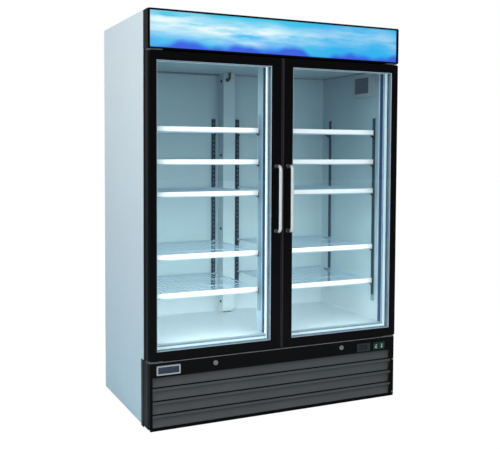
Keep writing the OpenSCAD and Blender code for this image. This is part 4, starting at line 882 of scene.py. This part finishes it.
def return_bend(x, y, z0, z1, way):
    """Half circle from one tube end to the next one above it, bulging along x by half their distance."""
    a = np.linspace(0, np.pi, 13)[:, None]
    reach = (z1 - z0) / 2
    return np.array([x, y, (z0 + z1) / 2]) + np.sin(a) * [way * reach, 0, 0] - np.cos(a) * [0, 0, reach]


def make_coils():
    """Return bends on the condenser, in two serpentines joined by one crossover, and evaporator headers."""
    reach, low, top = COND_X + 12, COND_ROWS[0], COND_ROWS[-1]
    bends = []
    for y, first in zip(COND_TUBE_Y, (1, -1)):
        for i in range(4):
            way = first * (-1) ** i
            bends.append(return_bend(COND_MIDDLE + way * reach, y, COND_ROWS[i], COND_ROWS[i + 1], way))
    (near, far), end = COND_TUBE_Y, COND_MIDDLE - reach
    bends.append(bent([(end, near, low), (end - 38, near, low), (end - 38, far, low), (end - 38, far, top),
                       (end, far, top)], 12))
    piece("condenser_bends", [tube(path, 4.5, 12) for path in bends], "copper")
    headers = [tube([(EVAP_END, y, z) for z in (EVAP_Z[0] - 6, EVAP_Z[0], EVAP_Z[2], EVAP_Z[2] + 6)],
                    (3.0, 6.0, 6.0, 3.0), 14) for y in EVAP_Y]
    headers.append(tube([(EVAP_END + 2, y, EVAP_Z[1]) for y in (EVAP_Y[0], EVAP_Y[2])], 6.0, 14))
    piece("evaporator_headers", both(headers), "copper")


def make_pipes():
    """Bent copper lines along the model's own routes, a sleeve on the cold one and a drier on another."""
    coil_y, coil_z = EVAP_Y[1], EVAP_Z[1]
    duct_y, duct_x, back_z = 696.0, 10.0, 287.0
    x, y, stub_z = 330.0, 560.0, 247.0
    cold = bent([(EVAP_END, coil_y, coil_z), (x, coil_y, coil_z), (x, duct_y, coil_z),
                 (duct_x, duct_y, coil_z), (duct_x, duct_y, back_z), (x, duct_y, back_z), (x, y, back_z),
                 (x, y, stub_z)], 16)
    near, far = COND_TUBE_Y
    end, x, y, gas_z = -58.0, 290.0, 520.0, 263.0
    hot = bent([(x, y, stub_z), (x, y, gas_z), (x, near, gas_z - 4), (x, near, 255.5), (end, near, 255)], 10)
    run_x, rise_x, far_x, y, low_z, top_z = -10.0, -4.0, -324.0, duct_y + 16, 55.0, 1817.0
    liquid = bent([(end, far, low_z), (run_x, far, low_z), (run_x, y, low_z), (rise_x, y, low_z),
                   (rise_x, y, top_z), (far_x, y, top_z), (far_x, coil_y, top_z), (far_x, coil_y, coil_z),
                   (-EVAP_END, coil_y, coil_z)], 14)
    piece("copper_lines", [tube(cold, 6.0, 16), tube(hot, 4.0, 12), tube(liquid, 3.5, 12)], "copper",
          replaces=("refrigerant_pipes",))
    sleeve = tube([(x, duct_y, back_z) for x in (40, 42, 292, 294)], (9.5, 11.0, 11.0, 9.5), 20)
    piece("suction_line_sleeve", [sleeve], "pipe_foam")
    cap = [(0, 4.2), (10, 5), (20, 13), (26, 14)]
    drier = cap + [(112 - along, radius) for along, radius in cap[::-1]]
    piece("filter_drier", [turned(drier, (run_x, 250, low_z), BACK, 24)], "copper")


def fan_rotor(body, centre, hub, tip, chord, shaft_end):
    """Five twisted, swept blades on a domed hub. At each radius a thin oval, bowed and pitched, is one ring;
    chord, pitch and sweep change evenly from hub to tip."""
    blades, sweep, half_thick, bow = 5, 0.35, 0.9, 0.14
    out = np.linspace(hub - 3, tip, 9)[:, None]
    share = (out - hub + 3) / (tip - hub + 3)
    turn = 2 * np.pi * np.arange(22)[None] / 22
    wide = chord * (0.62 + 0.38 * share) / 2
    pitch = np.radians(36 - 13 * share)
    along = wide * np.cos(turn)
    thick = half_thick * np.sin(turn) - bow * wide * np.sin(turn) ** 2
    sideways = along * np.cos(pitch) - thick * np.sin(pitch)
    depth = along * np.sin(pitch) + thick * np.cos(pitch)
    skins = []
    for blade in range(blades):
        angle = 2 * np.pi * blade / blades + sweep * share
        x = out * np.cos(angle) - sideways * np.sin(angle)
        z = out * np.sin(angle) + sideways * np.cos(angle)
        skins.append(loft(np.asarray(centre) + np.stack([x, depth + 14, z], -1)))
    form = [(4, 0.6), (4.6, hub * 0.5), (7, hub * 0.86), (10, hub), (24, hub), (24, hub - 4), (21, hub - 5),
            (21, 4), (shaft_end - 1, 4), (shaft_end, 3)]
    skins.append(turned(form, centre, BACK))
    piece(body + "_blades", skins, "fan_frame", body, (body + "_rotor",))


def make_fans():
    """Both rotors, and the wire guard of the evaporator's."""
    fan_rotor("condenser_fan", (-300.0, 166.0, 155.0), 30.0, 108.0, 58.0, 80.0)
    fan_rotor("evaporator_fan", (0.0, 350.0, 1866.0), 20.0, 56.5, 34.0, 50.0)
    guard = [tube(ring((0, 345, 1866), radius, 48), 1.0, 8, loop=True) for radius in (16, 32, 48, 66)]
    for a in np.radians([45, 135, 225, 315]):
        way = np.array([math.cos(a), 0, math.sin(a)])
        middle = np.array([0, 343.2, 1866])
        spoke = bent([middle + 10 * way, middle + 69 * way, middle + 69 * way + (0, 7.5, 0)], 3)
        guard.append(tube(spoke, 1.2, 8))
    piece("evaporator_fan_guard", guard, "zinc")


def make_compressor_fittings():
    """Weld seam and bare terminal cover on the shell, and the bolts of its rubber mounts."""
    x, y, radius, mount_z = 330.0, 520.0, 90.0, 26.6
    seam = [(-4, radius - 1), (-3, radius + 1.6), (0, radius + 2.6), (3, radius + 1.6), (4, radius - 1)]
    cover = block((x - 34, y - radius - 30, 82), (x + 34, y - radius - 4, 160), 5.0)
    head, shank = [(0, 8), (0.6, 9), (6.4, 9), (7, 8)], [(0, 4), (9, 4), (10, 3)]
    bolts = [turned(form, (x + across, y + deep, mount_z), UP, sides)
             for across in (-radius, radius) for deep in (10 - radius, radius - 10)
             for form, sides in ((head, 6), (shank, 16))]
    piece("compressor_seam", [turned(seam, (x, y, 130), UP, 64, loop=True)], "compressor_black")
    piece("terminal_cover", [cover], "black_trim")
    piece("compressor_bolts", bolts, "zinc")


def make_box_lid():
    """Lid with a turned edge and four screws on the electrical box."""
    low, high = span("electrical_box")
    lid = block(low + (-2, -3, 2), (high[0] + 2, low[1] + 9, high[2] + 2), 1.5)
    heads = [screw_head((x, low[1] - 3, z), OUT, 4.0, 2.2) for x in (low[0] + 12, high[0] - 12)
             for z in (low[2] + 16, high[2] - 12)]
    piece("electrical_box_lid", [lid], "grey_steel")
    piece("electrical_box_screws", heads, "zinc")


def make_feet():
    """Levelling feet: a chamfered pad, a threaded stem of small ridges and a hexagon nut on the tray."""
    tray_low, tray_top, thread = 10.0, 12.0, 1.5
    pad = [(0, 22), (0.8, 24.4), (2, 25), (6.5, 25), (8.6, 22), (9.6, 14), (tray_low, 6)]
    ridges = [(z + i * thread, radius) for i in range(13)
              for z, radius in ((tray_top, 5.3), (tray_top + thread / 2, 6))]
    stem = pad + ridges + [(32, 5)]
    nut = [(0, 9.4), (0.8, 10.4), (6.2, 10.4), (7, 9.4)]
    places = [(x, y) for x in (-640, 640) for y in (158, 735)]
    piece("levelling_feet_turned", [turned(stem, (x, y, 0), UP, 40) for x, y in places], "chassis",
          replaces=("levelling_feet",))
    piece("foot_nuts", [turned(nut, (x, y, tray_top + 0.1), UP, 6) for x, y in places], "zinc")


def make_back():
    """Folded hem and screws round the rear sheet, and the cord gland with its hexagon nuts."""
    low, high = span("back_panel")
    back = high[1]
    hem = [(0, -0.2), (0.6, 1), (13, 1.2), (15.4, 0.8), (15.6, -0.2)]
    places = [(x, z) for x in (low[0] + 9, high[0] - 9) for z in np.linspace(low[2] + 30, high[2] - 30, 7)]
    places += [(x, z) for x in np.linspace(-500, 500, 5) for z in (low[2] + 9, high[2] - 9)]
    piece("rear_hem", [mitred(inset("back_panel", 16), hem, back)], "galvanised")
    piece("rear_screws", [screw_head((x, back + 1, z), BACK, 4.5, 2.2) for x, z in places], "zinc")
    hole, bore = (620, 789, 120), 5.0
    gland = [(-8, bore), (-8, 10), (-7, 11), (1, 11), (6, 11), (9, 10), (13, 7.5), (13, bore)]
    nut_out = [(1, 10.5), (1.2, 15), (2, 16), (5, 16), (6, 15), (6.2, 10.5)]
    nut_in = [(-6, 10.5), (-5.8, 15.5), (-5, 16), (-1, 16), (-0.2, 15.5), (0, 10.5)]
    skins = [turned(form, hole, BACK, sides, loop=True)
             for form, sides in ((gland, 32), (nut_out, 6), (nut_in, 6))]
    piece("cord_gland", skins, "black_trim", replaces=("cord_inlet",))


make_coils()
make_pipes()
make_fans()
make_compressor_fittings()
make_box_lid()
make_feet()
make_back()


# Room: white round the object, with a floor that keeps its shadow
def plain_sight(tree):
    """1 for the eye, straight or through glass; 0 once the line has been reflected or scattered."""
    path = node(tree, "LightPath").outputs
    seen = calc(tree, "MAXIMUM", path["Is Camera Ray"], path["Is Transmission Ray"])
    turns = calc(tree, "ADD", path["Glossy Depth"], path["Diffuse Depth"])
    return calc(tree, "MULTIPLY", seen, calc(tree, "LESS_THAN", turns, 0.5))


def make_world():
    """White to the eye and through glass, darker in front for reflections, soft grey for the rest."""
    world = bpy.data.worlds.new("studio")
    bpy.context.scene.world = world
    world.use_nodes = True
    tree = world.node_tree
    tree.nodes.clear()
    shiny = calc(tree, "GREATER_THAN", node(tree, "LightPath").outputs["Glossy Depth"], 0.5)
    way = node(tree, "SeparateXYZ", {0: node(tree, "TexCoord").outputs["Generated"]}).outputs
    behind = spread(tree, way["Y"], -0.3, 0.5, 0.18, 0.45)
    soft, gloss, white = [node(tree, "Background", {0: lin(colour), 1: strength}).outputs[0]
                          for colour, strength in (("#e9f1f6", 0.75), ("#eef4f8", behind), ("#ffffff", 1.0))]
    mirror = node(tree, "MixShader", {0: shiny, 1: soft, 2: gloss})
    whole = node(tree, "MixShader", {0: plain_sight(tree), 1: mirror.outputs[0], 2: white})
    node(tree, "OutputWorld", {"Surface": whole.outputs[0]})


def make_floor():
    """A wide pale sheet: mostly white to the eye, so that only a soft shadow shows on it."""
    size = 30.0
    mesh = bpy.data.meshes.new("floor")
    corners = [(-size, -size, 0), (size, -size, 0), (size, size, 0), (-size, size, 0)]
    mesh.from_pydata(corners, [], [(0, 1, 2, 3)])
    material, tree, shader = blank("matt_white_floor", Base_Color=lin("#dfe5e8"), Roughness=0.9,
                                   specular=0.1)
    glow = node(tree, "Emission", {0: lin("#ffffff"), 1: 0.88})
    thin = node(tree, "BsdfDiffuse", {0: lin("#818181")})
    lit = node(tree, "AddShader", {0: glow.outputs[0], 1: thin.outputs[0]})
    show(tree, node(tree, "MixShader", {0: plain_sight(tree), 1: shader.outputs[0], 2: lit.outputs[0]}))
    mesh.materials.append(material)
    floor = add("floor", mesh)


def area_lamp(name, at, towards, size, power, in_gloss=False):
    """A soft rectangular lamp, hidden from the eye."""
    data = bpy.data.lights.new(name, "AREA")
    data.shape = "RECTANGLE"
    data.size, data.size_y = size
    data.energy = power
    lamp = add(name, data)
    aim = Vector(towards) - Vector(at)
    lamp.matrix_world = Matrix.Translation(at) @ aim.to_track_quat("-Z", "Y").to_matrix().to_4x4()
    lamp.visible_camera = False
    lamp.visible_transmission = False
    lamp.visible_glossy = in_gloss


def make_lamps():
    """Key and tall strip from the left, a front fill, and the cabin's own light, brighter towards its floor.

    The cabin's light is one soft sheet just behind each door, in two parts."""
    area_lamp("key", (-3.2, -2.6, 3.4), (0, 0, 1.0), (2.4, 2.4), 60, in_gloss=True)
    area_lamp("strip", (-3.6, -1.4, 1.1), (0, -0.2, 1.1), (0.7, 2.2), 14, in_gloss=True)
    area_lamp("front_fill", (0.4, -3.4, 1.3), (0, 0.2, 1.0), (2.0, 1.6), 42)
    for side, sheets in ((-1, (2.0, 1.3)), (1, (1.4, 0.8))):
        for (low, high), power in zip(((410, 1000), (1010, 1740)), sheets):
            x, middle = side * 350, (low + high) / 2
            area_lamp(f"cabin_sheet_{side}_{low}", metres((x, 92, middle)), metres((x, 700, middle)),
                      (0.5, (high - low) * MM), power)


make_world()
make_floor()
make_lamps()
